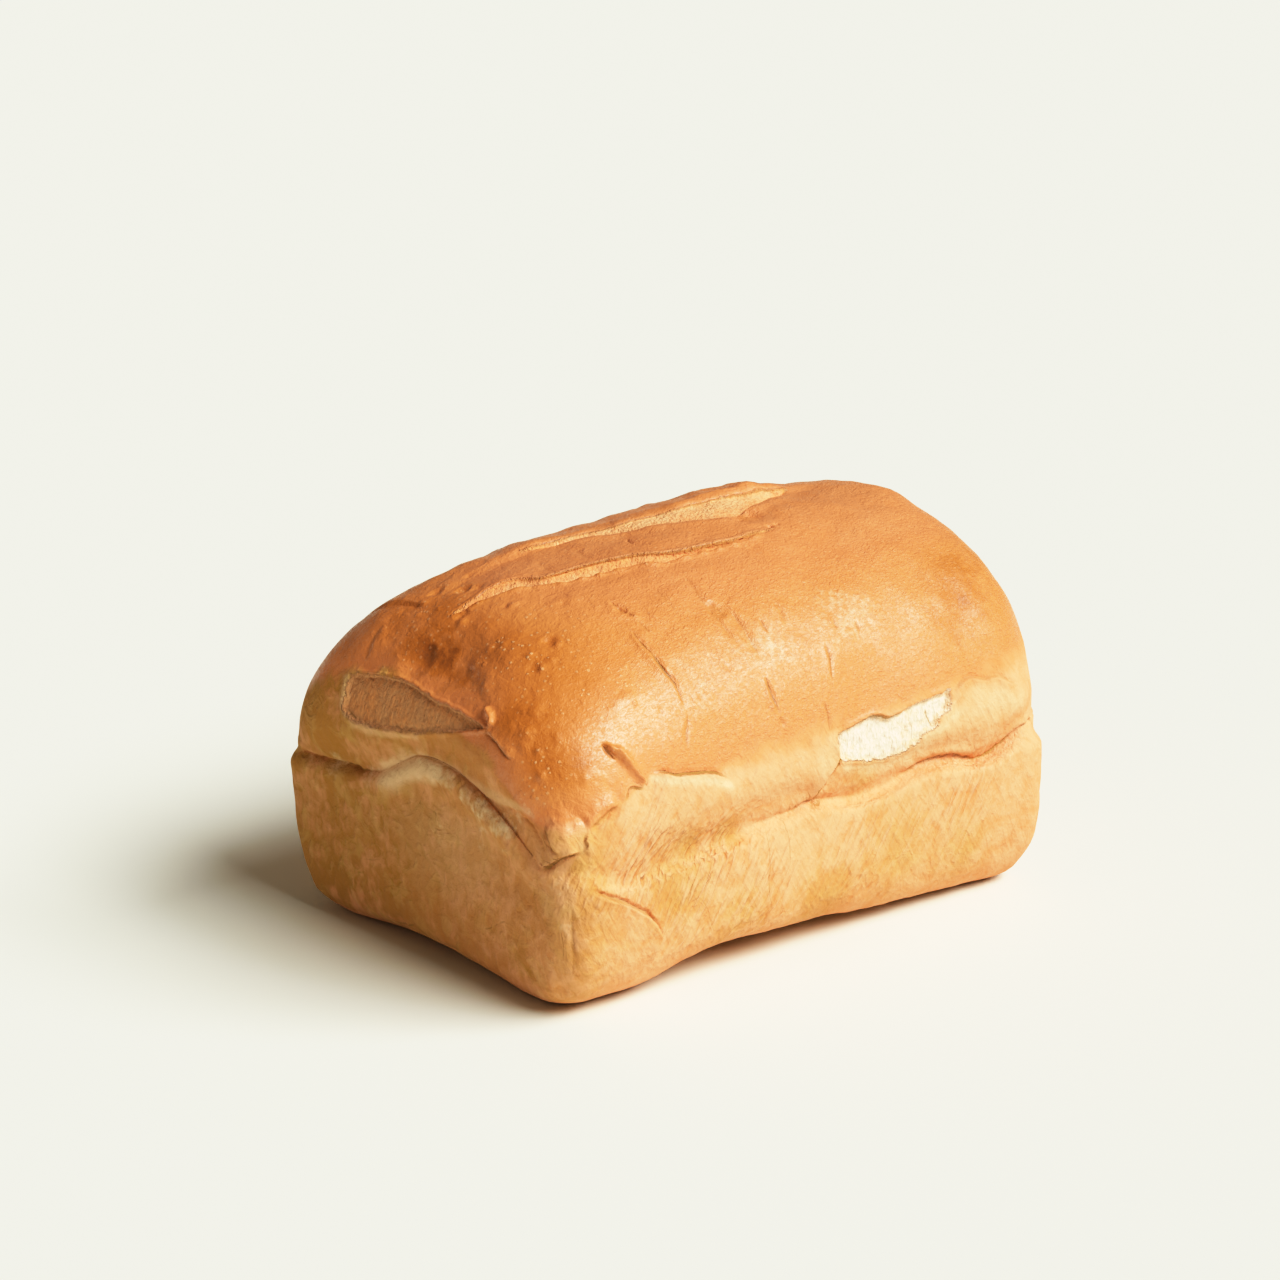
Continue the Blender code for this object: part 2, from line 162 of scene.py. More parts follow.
# The near cut, seen from above: its front and back edge (x, y), and how high the ridge stands behind it
NEAR_FRONT = ((-0.084, 0.0095), (-0.0757, 0.0053), (-0.0692, 0.0015), (-0.0624, -0.0019), (-0.0557, -0.0057),
              (-0.0520, -0.0089), (-0.0440, -0.0114), (-0.0342, -0.0137), (-0.0275, -0.0152),
              (-0.0197, -0.0196), (-0.0120, -0.0200), (0.0005, -0.0214), (0.0106, -0.0208),
              (0.0173, -0.0206), (0.030, -0.0180))
NEAR_BACK = ((-0.084, 0.0095), (-0.0735, 0.0068), (-0.0678, 0.0069), (-0.0631, 0.0056), (-0.0591, 0.0034),
             (-0.0562, -0.0006), (-0.0527, -0.0034), (-0.0440, -0.0050), (-0.0348, -0.0076),
             (-0.0251, -0.0112), (-0.0177, -0.0152), (-0.0084, -0.0180), (0.0043, -0.0194),
             (0.0120, -0.0196), (0.030, -0.0180))
NEAR_RISE = ((-0.084, 0.0), (-0.070, 0.0006), (-0.056, 0.0010), (-0.045, 0.0014), (-0.010, 0.0013),
             (0.010, 0.0009), (0.030, 0.0))

# The far cut: the ridge's back edge, the far flap's front edge, and how high the flap stands
FAR_FRONT = ((-0.050, 0.0235), (-0.040, 0.0215), (-0.030, 0.0185), (-0.022, 0.0150), (-0.012, 0.0083),
             (-0.002, 0.0037), (0.004, 0.0008), (0.012, -0.0034), (0.018, -0.0054), (0.024, -0.0048),
             (0.030, -0.0022), (0.038, 0.0008), (0.049, 0.0060), (0.060, 0.0115))
FAR_BACK = ((-0.050, 0.0235), (-0.040, 0.0222), (-0.027, 0.0200), (-0.016, 0.0182), (-0.008, 0.0146),
            (0.003, 0.0128), (0.012, 0.0100), (0.024, 0.0102), (0.038, 0.0098), (0.048, 0.0112),
            (0.060, 0.0115))
FLAP_RISE = ((-0.060, 0.0010), (-0.040, 0.0026), (-0.020, 0.0014), (0.0, 0.0014), (0.020, 0.0024),
             (0.038, 0.0034), (0.050, 0.0038), (0.060, 0.0018), (0.072, 0.0))
FLAP_ROLL = ((-0.05, 0.0014), (0.0, 0.0018), (0.03, 0.0030), (0.06, 0.0016))
FLAP_WIDTH = 0.014
FLAP_FADE = 0.022
CUT_DEPTH = 0.0016
# Where each cut's points lie: (span along X, span along Y, lowest height)
NEAR_CUT_ZONE = ((-0.088, 0.034), (-0.045, 0.045), 0.095)
FAR_CUT_ZONE = ((-0.080, 0.095), (-0.030, 0.080), 0.090)
# Start, end and number of the places where the near cut's lean is measured
LEAN_PLACES = (-0.09, 0.04, 261)

# Paths: pixels of the picture for one metre at the loaf, and the share of a stretch that softening cuts off
PICTURE_SCALE = 3130.0
CORNER_CUT = 0.25
# The axis that a flat path is carried along onto the loaf, and the side that it comes from
VIEWS = {"top": (2, 1.0), "near": (1, -1.0), "far": (1, 1.0), "right": (0, 1.0)}

# The cube that is shaped into the loaf, from -1 to 1: where its fold, rounded lower edge and top lie
FOLD_LEVEL = -0.1
EDGE_SHARE = 0.2
TOP_ARC = 0.6 * np.pi / 2
# How square the lower edge is where the loaf stands, and where on the cube that begins and ends
EDGE_SQUARE = 0.5
SQUARE_ALONG = (-0.1, 0.4)
SQUARE_ACROSS = (0.4, -0.4)
# Places of the grid's stops on the cube, and how many steps lie between each two
GRID_X = ((-1.0, -0.9, 0.9, 1.0), (6, 88, 6))
GRID_Y = ((-1.0, -0.87, 0.87, 1.0), (5, 52, 5))
GRID_Z = ((-1.0, -0.82, FOLD_LEVEL - 0.1, FOLD_LEVEL, FOLD_LEVEL + 0.12, 1.0), (7, 17, 4, 6, 26))
# Finer cells: how far they reach from any feature, and from the finest ones
REFINE_REACH = 0.0065
REFINE_REACH_FINE = 0.0024

# Unevenness: (size of its lumps, where in the noise it is read, octaves, stretch along each axis)
CREASE_WANDER = (0.0035, 14.0, 3)
CREASE_LUMPS = (0.006, 17.0, 2)
LEDGE_WANDER = (0.0035, 15.0, 3)
NEAR_CUT_WANDER = (0.004, 3.0, 3)
FAR_CUT_WANDER = (0.006, 8.0, 3)
FLAP_LUMPS = (0.010, 5.0, 2)
FOLD_LUMPS = (0.005, 21.0, 3)
FOLD_WANDER = (0.003, 23.0, 3)
TEAR_WANDER = (0.0035, 12.0, 4)
CRUMB_FIBRES = (0.0022, 30.0, 3, (0.5, 0.5, 1.6))
DOUGH_LUMPS = (0.034, 51.0, 3)
CROWN_LUMPS = (0.011, 91.0, 2)
WALL_LUMPS = (0.007, 77.0, 3)
BROWN_WANDER = (0.011, 61.0, 3)
AREA_WANDER = (0.004, 37.0, 3)
DIMPLE_SEED = 19.0
STAIN_SEED = 33.0

# Marks kept at the loaf's points, which its material reads
MARKS = ("bake", "torn", "pale", "smear_and_painted_light", "cream_and_painted_light", "crack", "crack_shade", "toast_and_shade", "tan_and_shade", "fray", "weave",
         "stria", "speckle")
FAR_FROM_TEAR = 0.010
FAR_FROM_CRACK = 12.0
CRACK_REACH = 0.004
# The darkness of a crack is painted shade in it
CRACK_FADE = (3.0, 5.0)  # half widths of a crack over which its darkness fades
CUT_CRACK_WIDTH = 0.0005
FOLD_CRACK_WIDTH = 0.00042
LEDGE_CRACK_WIDTH = 0.0005
FINE_CRACK_WIDTH = 0.0003
FINE_CRACK_DEPTH = 0.0002
FINE_CRACK_ENDS = 0.2
FACING_CAMERA = 0.05
OUTLINE_MARGIN = 0.012
NUB_STEP = 0.0082  # from one tooth of the serrated edge to the next
NUB_DRIFT = 150.0
VALLEY_ABOVE = 0.011
VALLEY_BELOW = 0.004
VALLEY_NEAR = ((0.0, 0.0), (0.35, 0.0004), (0.48, 0.0010), (0.56, 0.0024), (0.75, 0.0030), (0.90, 0.0028),
               (1.0, 0.0014))
VALLEY_LEFT = ((0.0, 0.0006), (0.2, 0.0010), (0.3, 0.0006), (0.5, 0.0), (0.8, 0.0), (1.0, 0.0006))
VALLEY_HIDDEN = ((0.0, 0.0), (0.2, 0.0014), (0.5, 0.0008), (0.75, 0.0020), (1.0, 0.0))


# ---------------------------------------------------------------- measuring

def smooth(t):
    """0 to 1 with level ends, from t between 0 and 1."""
    t = np.clip(t, 0.0, 1.0)
    return t * t * (3.0 - 2.0 * t)


def ramp(value, start, end):
    """0 where the value is at the start and 1 where it is at the end, level beyond both."""
    return smooth((value - start) / (end - start))


def bell(value, middle, width):
    """1 where the value is at the middle, falling away over the width."""
    return np.exp(-((value - middle) / width) ** 2)


def along(t, knots, soft=0.006):
    """A value read between (place, value) knots, with its corners softened."""
    places, values = np.array(knots).T
    return sum(np.interp(t + shift * soft, places, values) for shift in (-1.0, -0.5, 0.0, 0.5, 1.0)) / 5.0


def rough(points, size, seed, octaves, stretch=(1.0, 1.0, 1.0)):
    """Uneven values of about -1 to 1 at the points, with lumps of the given size."""
    scale = np.array([1.0 / (size * s) for s in stretch])
    lattice = points * scale + seed
    return np.array([noise.fractal(Vector(p), 1.0, 2.0, octaves) for p in lattice])


# ---------------------------------------------------------------- plain form of the loaf

def rounded(u, v, half_x, half_y, radius):
    """A point on the unit square, carried to a rectangle with round corners."""
    radius = np.minimum(radius, np.minimum(half_x, half_y) * ALMOST)
    x, y = u * half_x, v * half_y
    core_x = np.clip(x, radius - half_x, half_x - radius)
    core_y = np.clip(y, radius - half_y, half_y - radius)
    away = np.hypot(x - core_x, y - core_y)
    in_corner = (np.abs(x) > half_x - radius) & (np.abs(y) > half_y - radius) & (away > TINY)
    scale = np.where(in_corner, radius / np.maximum(away, TINY), 1.0)
    return core_x + (x - core_x) * scale, core_y + (y - core_y) * scale


def crown_ring(share, side):
    """Half sizes and corner radius of the crown's level ring, from share 1 at the fold to 0 at the spine."""
    share = np.maximum(share, 0.0)
    left = SPINE_LEFT + (CROWN_REACH - SPINE_LEFT) * share ** END_FALL_LEFT
    right = SPINE_RIGHT + (CROWN_REACH - SPINE_RIGHT) * share ** END_FALL_RIGHT
    half_x = np.where(side < 0, left, right)
    half_y = CROWN_WIDTH / 2 * share
    return half_x, half_y, np.minimum(CROWN_CORNER, half_y * ALMOST)


def crown_share(x, y):
    """Which level ring of the crown passes over (x, y), found by halving."""
    low, high = np.zeros_like(x), np.ones_like(x)
    for _ in range(HALVINGS):
        middle = (low + high) / 2
        half_x, half_y, radius = crown_ring(middle, x)
        over_x, over_y = np.abs(x) - (half_x - radius), np.abs(y) - (half_y - radius)
        gap = np.hypot(np.maximum(over_x, 0), np.maximum(over_y, 0))
        outside = gap + np.minimum(np.maximum(over_x, over_y), 0) > radius
        low, high = np.where(outside, middle, low), np.where(outside, high, middle)
    return high


def crown_height(share, x):
    """Height of a point on the crown's ring, lower towards the ends of the loaf."""
    rise = np.sqrt(np.maximum(1.0 - share * share, 0.0)) ** ARCH
    end = np.clip(np.abs(x) / CROWN_REACH, 0.0, 1.0)
    droop = np.where(x < 0, DROOP_LEFT * end ** DROOP_CURVE_LEFT, DROOP_RIGHT * end ** DROOP_CURVE_RIGHT)
    hump = HUMP_HEIGHT * rise ** HUMP_SHARPNESS * bell(x, HUMP_PLACE, HUMP_WIDTH)
    return FOLD_HEIGHT + (CROWN_HEIGHT - FOLD_HEIGHT - droop) * rise + hump


def wall(u, v, w):
    """The tin's walls, with the rounded lower edge and the tuck at the fold."""
    t = (w + 1.0) / (FOLD_LEVEL + 1.0)
    angle = np.clip(t / EDGE_SHARE, 0.0, 1.0) * np.pi / 2
    straight = EDGE_RADIUS + (t - EDGE_SHARE) / (1.0 - EDGE_SHARE) * (FOLD_HEIGHT - EDGE_RADIUS)
    power = 1.0 - EDGE_SQUARE * ramp(u, *SQUARE_ALONG) * ramp(v, *SQUARE_ACROSS)
    across, up = np.maximum(np.sin(angle), 0.0) ** power, np.maximum(np.cos(angle), 0.0) ** power
    z = np.where(t < EDGE_SHARE, EDGE_RADIUS * (1.0 - up), straight)
    share = np.clip(z / FOLD_HEIGHT, 0.0, 1.0)
    widening = 1.0 - (1.0 - share) ** WALL_CURVE
    inset = EDGE_RADIUS * (1.0 - across) + FOLD_TUCK * ramp(share, TUCK_START, 1.0)
    half_x = (BASE_LENGTH + (TIN_LENGTH - BASE_LENGTH) * widening) / 2 - inset
    half_y = (BASE_WIDTH + (TIN_WIDTH - BASE_WIDTH) * widening) / 2 - inset
    x, y = rounded(u, v, half_x, half_y, np.full_like(half_x, CORNER_RADIUS))
    return x, y, z


def crown_side(u, v, w):
    """The steep part of the crown, which swells out of the fold."""
    arc = np.clip((w - FOLD_LEVEL) / (1.0 - FOLD_LEVEL), 0.0, 1.0) * TOP_ARC
    share = np.cos(arc)
    half_x, half_y, radius = crown_ring(share, u)
    tucked = (1.0 - np.clip(arc / SWELL_ANGLE, 0.0, 1.0)) ** 2
    half_x = half_x + (TIN_LENGTH / 2 - FOLD_TUCK - half_x) * tucked
    half_y = half_y + (TIN_WIDTH / 2 - FOLD_TUCK - half_y) * tucked
    radius = radius + (CORNER_RADIUS - radius) * tucked
    x, y = rounded(u, v, half_x, half_y, radius)
    return x, y, crown_height(share, x)


def crown_top(u, v, reach):
    """The upper part of the crown, as heights over a plan grid."""
    half_x, half_y, radius = crown_ring(np.full_like(u, np.cos(TOP_ARC)), u)
    x, y = rounded(u, v, half_x * reach, half_y * reach, np.maximum(radius * reach * reach, SMALLEST_RADIUS))
    return x, y, crown_height(crown_share(x, y), x)


def underside(u, v, reach):
    """The flat bottom inside the rounded lower edge."""
    half_x = reach * (BASE_LENGTH / 2 - EDGE_RADIUS)
    half_y = reach * (BASE_WIDTH / 2 - EDGE_RADIUS)
    x, y = rounded(u, v, half_x, half_y, np.maximum(CORNER_RADIUS * reach * reach, SMALLEST_RADIUS))
    return x, y, np.zeros_like(x)


def shape(cube):
    """Carries points of the cube from -1 to 1 onto the loaf's plain form."""
    u, v, w = cube.T
    reach = np.maximum(np.abs(u), np.abs(v))
    unit = np.maximum(reach, TINY)
    ring_u, ring_v = u / unit, v / unit
    on_side = reach > ON_CUBE_SIDE
    zones = (
        (on_side & (w <= FOLD_LEVEL), wall(ring_u, ring_v, w)),
        (on_side & (w > FOLD_LEVEL), crown_side(ring_u, ring_v, w)),
        (~on_side & (w > 0), crown_top(ring_u, ring_v, reach)),
        (~on_side & (w < 0), underside(ring_u, ring_v, reach)),
    )
    placed = np.zeros_like(cube)
    for chosen, place in zones:
        placed[chosen] = np.stack(place, 1)[chosen]
    return placed


def side_weights(p):
    """How much a point belongs to the near, left, far and right side of the loaf."""
    length_share = p[:, 0] / CROWN_REACH
    width_share = p[:, 1] / (CROWN_WIDTH / 2)
    left, right = (smooth((side * length_share - END_START) / END_BLEND) for side in (-1, 1))
    near, far = (smooth((side * width_share - SIDE_START) / SIDE_BLEND) * (1 - left) * (1 - right)
                 for side in (-1, 1))
    return near, left, far, right


def fold_offset(p):
    """How far the fold is above or below its mean height beside each point."""
    near, left, far, right = side_weights(p)
    offset = near * along(p[:, 0], FOLD_NEAR) + far * along(p[:, 0], FOLD_FAR)
    return offset + left * along(p[:, 1], FOLD_LEFT) + right * along(p[:, 1], FOLD_RIGHT)


def follow_fold(p):
    """Lets the fold rise and fall round the loaf."""
    fading = np.where(p[:, 2] < FOLD_HEIGHT, smooth(p[:, 2] / FOLD_HEIGHT),
                      1.0 - smooth((p[:, 2] - FOLD_HEIGHT) / FOLD_REACH))
    p[:, 2] += fold_offset(p) * fading


def lift_edge(p):
    """Raises the lower edge off the table along the near side and the left end."""
    fade = np.clip(1.0 - p[:, 2] / LIFT_FADE, 0.0, 1.0) ** LIFT_FADE_CURVE
    start, end = LIFT_NEAR_SPAN
    t = np.clip((p[:, 0] - start) / (end - start), 0.0, 1.0)
    past_peak = np.clip((t - LIFT_NEAR_PEAK) / (1.0 - LIFT_NEAR_PEAK), 0.0, 1.0)
    arch_near = LIFT_NEAR * smooth(t / LIFT_NEAR_PEAK) * (1.0 - past_peak ** LIFT_NEAR_CURVE)
    under_near = smooth(1.0 - (p[:, 1] + BASE_WIDTH / 2) / LIFT_DEPTH)
    start, end = LIFT_LEFT_SPAN
    arch_left = LIFT_LEFT * np.sin(np.pi * np.clip((p[:, 1] - start) / (end - start), 0.0, 1.0))
    under_left = smooth(1.0 - (p[:, 0] + BASE_LENGTH / 2) / LIFT_DEPTH)
    p[:, 2] += fade * (arch_near * under_near + arch_left * under_left)


def grid_lines(stops, counts):
    """Grid places between stops, with the stated number of steps between each two."""
    lines = [stops[0]]
    for start, end, count in zip(stops[:-1], stops[1:], counts):
        lines += [start + (end - start) * (i + 1) / count for i in range(count)]
    return lines[1:-1]


def gridded_cube():
    """A cube from -1 to 1, cut along the grid's planes."""
    lines = [grid_lines(stops, counts) for stops, counts in (GRID_X, GRID_Y, GRID_Z)]
    bm = bmesh.new()
    bmesh.ops.create_cube(bm, size=2.0)
    for axis, places in enumerate(lines):
        normal = [0.0, 0.0, 0.0]
        normal[axis] = 1.0
        for place in places:
            geom = bm.verts[:] + bm.edges[:] + bm.faces[:]
            bmesh.ops.bisect_plane(bm, geom=geom, plane_co=[place * n for n in normal], plane_no=normal)
    return bm


def positions(bm):
    """The places of the mesh's vertices."""
    return np.array([v.co for v in bm.verts])


def move_points(bm, points):
    """Puts the mesh's vertices at the given points."""
    for vertex, point in zip(bm.verts, points):
        vertex.co = point
    bm.normal_update()


def plain_loaf():
    """The loaf before anything tears: walls, fold and crown, slightly softened."""
    bm = gridded_cube()
    points = shape(positions(bm))
    follow_fold(points)
    lift_edge(points)
    move_points(bm, points)
    crown = [v for v in bm.verts if v.co.z > CROWN_SOFTENED_ABOVE]
    for _ in range(CROWN_SOFTENINGS):
        bmesh.ops.smooth_vert(bm, verts=crown, factor=0.5, use_axis_x=True, use_axis_y=True, use_axis_z=True)
    bm.normal_update()
    return bm


def refine(bm, marks, reach):
    """Halves the mesh's cells within reach of the marked places."""
    tree = KDTree(len(marks))
    for number, mark in enumerate(marks):
        tree.insert(mark, number)
    tree.balance()
    close = [f for f in bm.faces if tree.find(f.calc_center_median())[2] < reach]
    edges = list({e for f in close for e in f.edges})
    bmesh.ops.subdivide_edges(bm, edges=edges, cuts=1, smooth=1.0, smooth_falloff='LINEAR',
                              use_grid_fill=True)
    bm.normal_update()


# ---------------------------------------------------------------- laying paths on the loaf

def camera_axes():
    """The camera's right, back and up directions, and its place."""
    turn, rise = CAMERA_TURN, CAMERA_RISE
    right = Vector((math.cos(turn), math.sin(turn), 0.0))
    back = Vector((math.sin(turn) * math.cos(rise), -math.cos(turn) * math.cos(rise), math.sin(rise)))
    up = back.cross(right)
    place = Vector((0.0, 0.0, AIM_HEIGHT)) + right * AIM_RIGHT + up * AIM_UP + back * CAMERA_AWAY
    return right, back, up, place


def softened(path, rounds=2):
    """A path with its corners cut, keeping its ends."""
    path = np.array(path, dtype=float)
    for _ in range(rounds):
        early = path[:-1] * (1.0 - CORNER_CUT) + path[1:] * CORNER_CUT
        late = path[:-1] * CORNER_CUT + path[1:] * (1.0 - CORNER_CUT)
        path = np.vstack([path[:1], np.stack([early, late], 1).reshape(-1, path.shape[1]), path[-1:]])
    return path


def cast(tree, origin, direction):
    """Where a ray meets the plain loaf."""
    place = tree.ray_cast(Vector(origin), Vector(direction))[0]
    if place is None:
        raise ValueError(f"a ray from {tuple(origin)} misses the loaf")
    return place


def seen(tree, path):
    """A path of picture places, laid on the loaf."""
    right, back, up, place = camera_axes()
    laid = []
    for column, row in path:
        across, down = ((pixel - PICTURE / 2) * PIXEL_SPREAD for pixel in (column, row))
        laid.append(cast(tree, place, -back + right * across - up * down))
    return np.array(laid)


def picture_places(points):
    """The column and row in the picture at which points of the loaf are seen."""
    right, back, up, place = (np.array(axis) for axis in camera_axes())
    away = points - place
    depth = -(away @ back) * PIXEL_SPREAD
    return PICTURE / 2 + away @ right / depth, PICTURE / 2 - away @ up / depth


def carried(tree, path, view):
    """A flat path, carried straight onto the loaf from the side that the view names."""
    axis, side = VIEWS[view]
    inward = -side * np.eye(3)[axis]
    return np.array([cast(tree, np.insert(pair, axis, side), inward) for pair in np.array(path, dtype=float)])


def inside(a, b, outline):
    """Distance into a closed outline in a plane, negative outside it."""
    nearest, within = np.full(a.shape, FAR_AWAY), np.zeros(a.shape, dtype=bool)
    corners = np.array(outline)
    for (a0, b0), (a1, b1) in zip(corners, np.roll(corners, -1, axis=0)):
        step_a, step_b = a1 - a0, b1 - b0
        t = np.clip(((a - a0) * step_a + (b - b0) * step_b) / (step_a ** 2 + step_b ** 2), 0.0, 1.0)
        nearest = np.minimum(nearest, np.hypot(a - a0 - t * step_a, b - b0 - t * step_b))
        if b0 != b1:
            crosses = (b0 > b) != (b1 > b)
            within ^= crosses & (a < a0 + (b - b0) / (b1 - b0) * step_a)
    return np.where(within, nearest, -nearest)


class Loaf:
    """The loaf's points while it is worked. Everything is measured where it lay on the plain form."""

    def __init__(self, bm):
        """Starts from the plain form, with nothing marked on it yet."""
        self.plain = positions(bm)
        self.normals = np.array([v.normal for v in bm.verts])
        self.points = self.plain.copy()
        self.above_fold = self.plain[:, 2] - FOLD_HEIGHT - fold_offset(self.plain)
        self.column, self.row = picture_places(self.plain)
        self.facing = self.normals @ np.array(camera_axes()[1])
        count = len(self.plain)
        self.marks = {name: np.zeros(count) for name in MARKS}
        self.marks["torn"][:] = -FAR_FROM_TEAR
        self.marks["crack"][:] = FAR_FROM_CRACK

    def beside(self, path, reach):
        """Points within reach of a path: which ones, how far across it (positive on its left, seen
        from outside), and how far along it, 0 to 1."""
        low, high = path.min(0) - reach, path.max(0) + reach
        chosen = np.where(np.all((self.plain > low) & (self.plain < high), axis=1))[0]
        points, normals = self.plain[chosen], self.normals[chosen]
        lengths = np.linalg.norm(np.diff(path, axis=0), axis=1)
        starts = np.concatenate([[0.0], np.cumsum(lengths)])
        nearest = np.full(len(points), FAR_AWAY)
        across, share = np.zeros(len(points)), np.zeros(len(points))
        for i, (start, end) in enumerate(zip(path[:-1], path[1:])):
            step = end - start
            t = np.clip((points - start) @ step / max(step @ step, TINY ** 2), 0.0, 1.0)
            delta = points - start - t[:, None] * step
            away = np.linalg.norm(delta, axis=1)
            side = np.sign(np.einsum('ij,ij->i', np.cross(normals, step), delta))
            closer = away < nearest
            nearest = np.where(closer, away, nearest)
            across = np.where(closer, away * np.where(side == 0, 1, side), across)
            share = np.where(closer, (starts[i] + t * lengths[i]) / starts[-1], share)
        kept = nearest < reach
        return chosen[kept], across[kept], share[kept]

    def within(self, outline):
        """Points near the inside of a picture outline, and their distance into it."""
        chosen = np.where(self.facing > FACING_CAMERA)[0]
        depth_in = inside(self.column[chosen], self.row[chosen], outline) / PICTURE_SCALE
        kept = depth_in > -OUTLINE_MARGIN
        return chosen[kept], depth_in[kept]

    def zone(self, span_x, span_y, above):
        """Points inside a plan rectangle and above a height."""
        x, y, z = self.plain.T
        in_plan = (x > span_x[0]) & (x < span_x[1]) & (y > span_y[0]) & (y < span_y[1])
        return np.where(in_plan & (z > above))[0]

    def uneven(self, chosen, texture):
        """Unevenness at the chosen points, as one of the textures named above."""
        return rough(self.plain[chosen], *texture)

    def push(self, chosen, amount):
        """Moves points out along their normals."""
        self.points[chosen] += self.normals[chosen] * amount[:, None]

    def mark(self, name, chosen, amount):
        """Raises a value kept at the points to at least the given amount."""
        self.marks[name][chosen] = np.maximum(self.marks[name][chosen], amount)

    def crack(self, chosen, across, width, crease_shade):
        """Keeps the distance across the nearest crack, in half widths of it, and how dark the painted shade
        in it is.
        """
        share = across / width
        closer = np.abs(share) < np.abs(self.marks["crack"][chosen])
        nearer = chosen[closer]
        self.marks["crack"][nearer] = share[closer]
        self.marks["crack_shade"][nearer] = (crease_shade * (1.0 - ramp(np.abs(share), *CRACK_FADE)))[closer]


def tapered(share, ends):
    """1 along a path, falling to 0 over the given share of it at each end."""
    return smooth(share / ends) * smooth((1.0 - share) / ends)


def furrow(loaf, path, width, depth, rim, crease_shade, ends=0.25):
    """A crease along a path, widest at its middle, with a raised rim on its left (on its right, where
    rim is negative). Where its depth is negative, it is a ridge."""
    chosen, across, share = loaf.beside(path, max(width * 5, CRACK_REACH))
    local = width * (0.45 + 0.75 * np.sin(np.pi * np.clip(share, 0.0, 1.0)))
    wander = across + 0.6 * local * loaf.uneven(chosen, CREASE_WANDER)
    fade = tapered(share, ends) * (1.0 + 0.4 * loaf.uneven(chosen, CREASE_LUMPS))
    side = np.sign(rim) if rim else 1.0
    rise = bell(wander * side, 1.8 * local, 1.5 * local) * abs(rim)
    loaf.push(chosen, fade * (rise - depth * bell(wander, 0.0, local)))
    # The crease's line is darkened with painted shade
    loaf.crack(chosen, across, 0.55 * local, crease_shade * fade)


def ledge(loaf, path, height, edge, fall, crease_shade, ends=0.2):
    """A step along a path: its left side stands up, falling away over the given distance."""
    chosen, across, share = loaf.beside(path, max(fall * 2.5, edge * 6, CRACK_REACH))
    fade = tapered(share, ends)
    wander = across + 0.5 * edge * loaf.uneven(chosen, LEDGE_WANDER)
    rise = smooth((wander + edge) / (2 * edge)) * np.exp(-np.maximum(wander - edge, 0.0) / fall)
    foot = -0.35 * smooth((edge * 3 + wander) / (edge * 2)) * (wander < 0)
    loaf.push(chosen, height * fade * (rise + foot * (1 - smooth(-wander / (edge * 5)))))
    # A line of painted shade at the step's foot
    if crease_shade > 0:
        loaf.crack(chosen, across + 0.4 * edge, max(0.9 * edge, LEDGE_CRACK_WIDTH), crease_shade * fade)


def dimple(loaf, spot, radius, depth):
    """A small round hollow, or a blister where depth is negative."""
    away = np.linalg.norm(loaf.plain - spot, axis=1)
    chosen = np.where(away < radius * 1.8)[0]
    uneven = 1.0 + 0.25 * loaf.uneven(chosen, (radius * 0.9, DIMPLE_SEED, 2))
    share = away[chosen] / radius * uneven
    rim = 0.22 * abs(depth) * bell(share, 1.25, 0.25)
    loaf.push(chosen, rim - 1.5 * depth * bell(share * 1.15, 0.0, 1.0))
    if depth > 0:
        loaf.mark("toast_and_shade", chosen, 0.1 * bell(share * 1.1, 0.0, 1.0))


# ---------------------------------------------------------------- the two cuts on the crown

# Pairs are the middle and the width of a bell across the cut, or the start and the end of a ramp
# Near cut: the softness of its edges, the width at which it is fully open, and how its edges wander
NEAR_SOFT = 0.0012
NEAR_OPEN = 0.0016
NEAR_WOBBLE = 0.0005
# The serrated brow in front of it
BROW = (-0.0009, 0.0011)
BROW_HEIGHT = 0.0002
TOOTH_HEIGHT = 0.0007
# The ridge's thin crust behind it, which hangs over the crumb
CRUMB_BELOW_RIDGE = 0.0007
RIDGE_LIP = (-0.0005, 0.0003)
RIDGE_EDGE = 0.0003
RIDGE_EDGE_END = 0.0012
RIDGE_FALL = 0.011
RIDGE_HANG = (0.0002, 0.0007)
RIDGE_HANG_DEPTH = 0.0009
RIDGE_TUCK = (-0.0011, 0.0006)
RIDGE_TUCK_DEPTH = 0.0006
# How pale its crumb is at the front, how much less pale at the back as painted shade under the ridge's crust,
# and how much more at the left
NEAR_PALE = 0.56
NEAR_SHADE_BACK = -0.22
NEAR_PALE_LEFT = 0.14
PALE_LEFT = (-0.030, -0.046)
NEAR_CRACK_SHOWN = (-0.064, -0.052)
NEAR_TOASTED = (-0.0006, 0.0010)
NEAR_TOAST = 0.45

# Far cut
FAR_SOFT = 0.002
FAR_OPEN = 0.0022
FAR_WOBBLE = 0.0006
FAR_FRONT_LEAN = 0.9
FAR_BACK_LEAN = 0.95
SHOULDER = (-0.0022, 0.0020)
SHOULDER_HEIGHT = 0.0004
FLAP_LIP_START = -0.0008
FLAP_LIP_WIDTH = 0.0012
FLAP_FOOT = (-0.003, 0.003)
FLAP_UNEVENNESS = 0.40
FLAP_HANG = (0.0010, 0.0010)
FLAP_HANG_DEPTH = 0.0011
FAR_PALE = 0.50
FAR_PALE_BACK = 0.18
FAR_TOASTED = (0.0035, 0.0026)
FAR_TOAST = 0.25


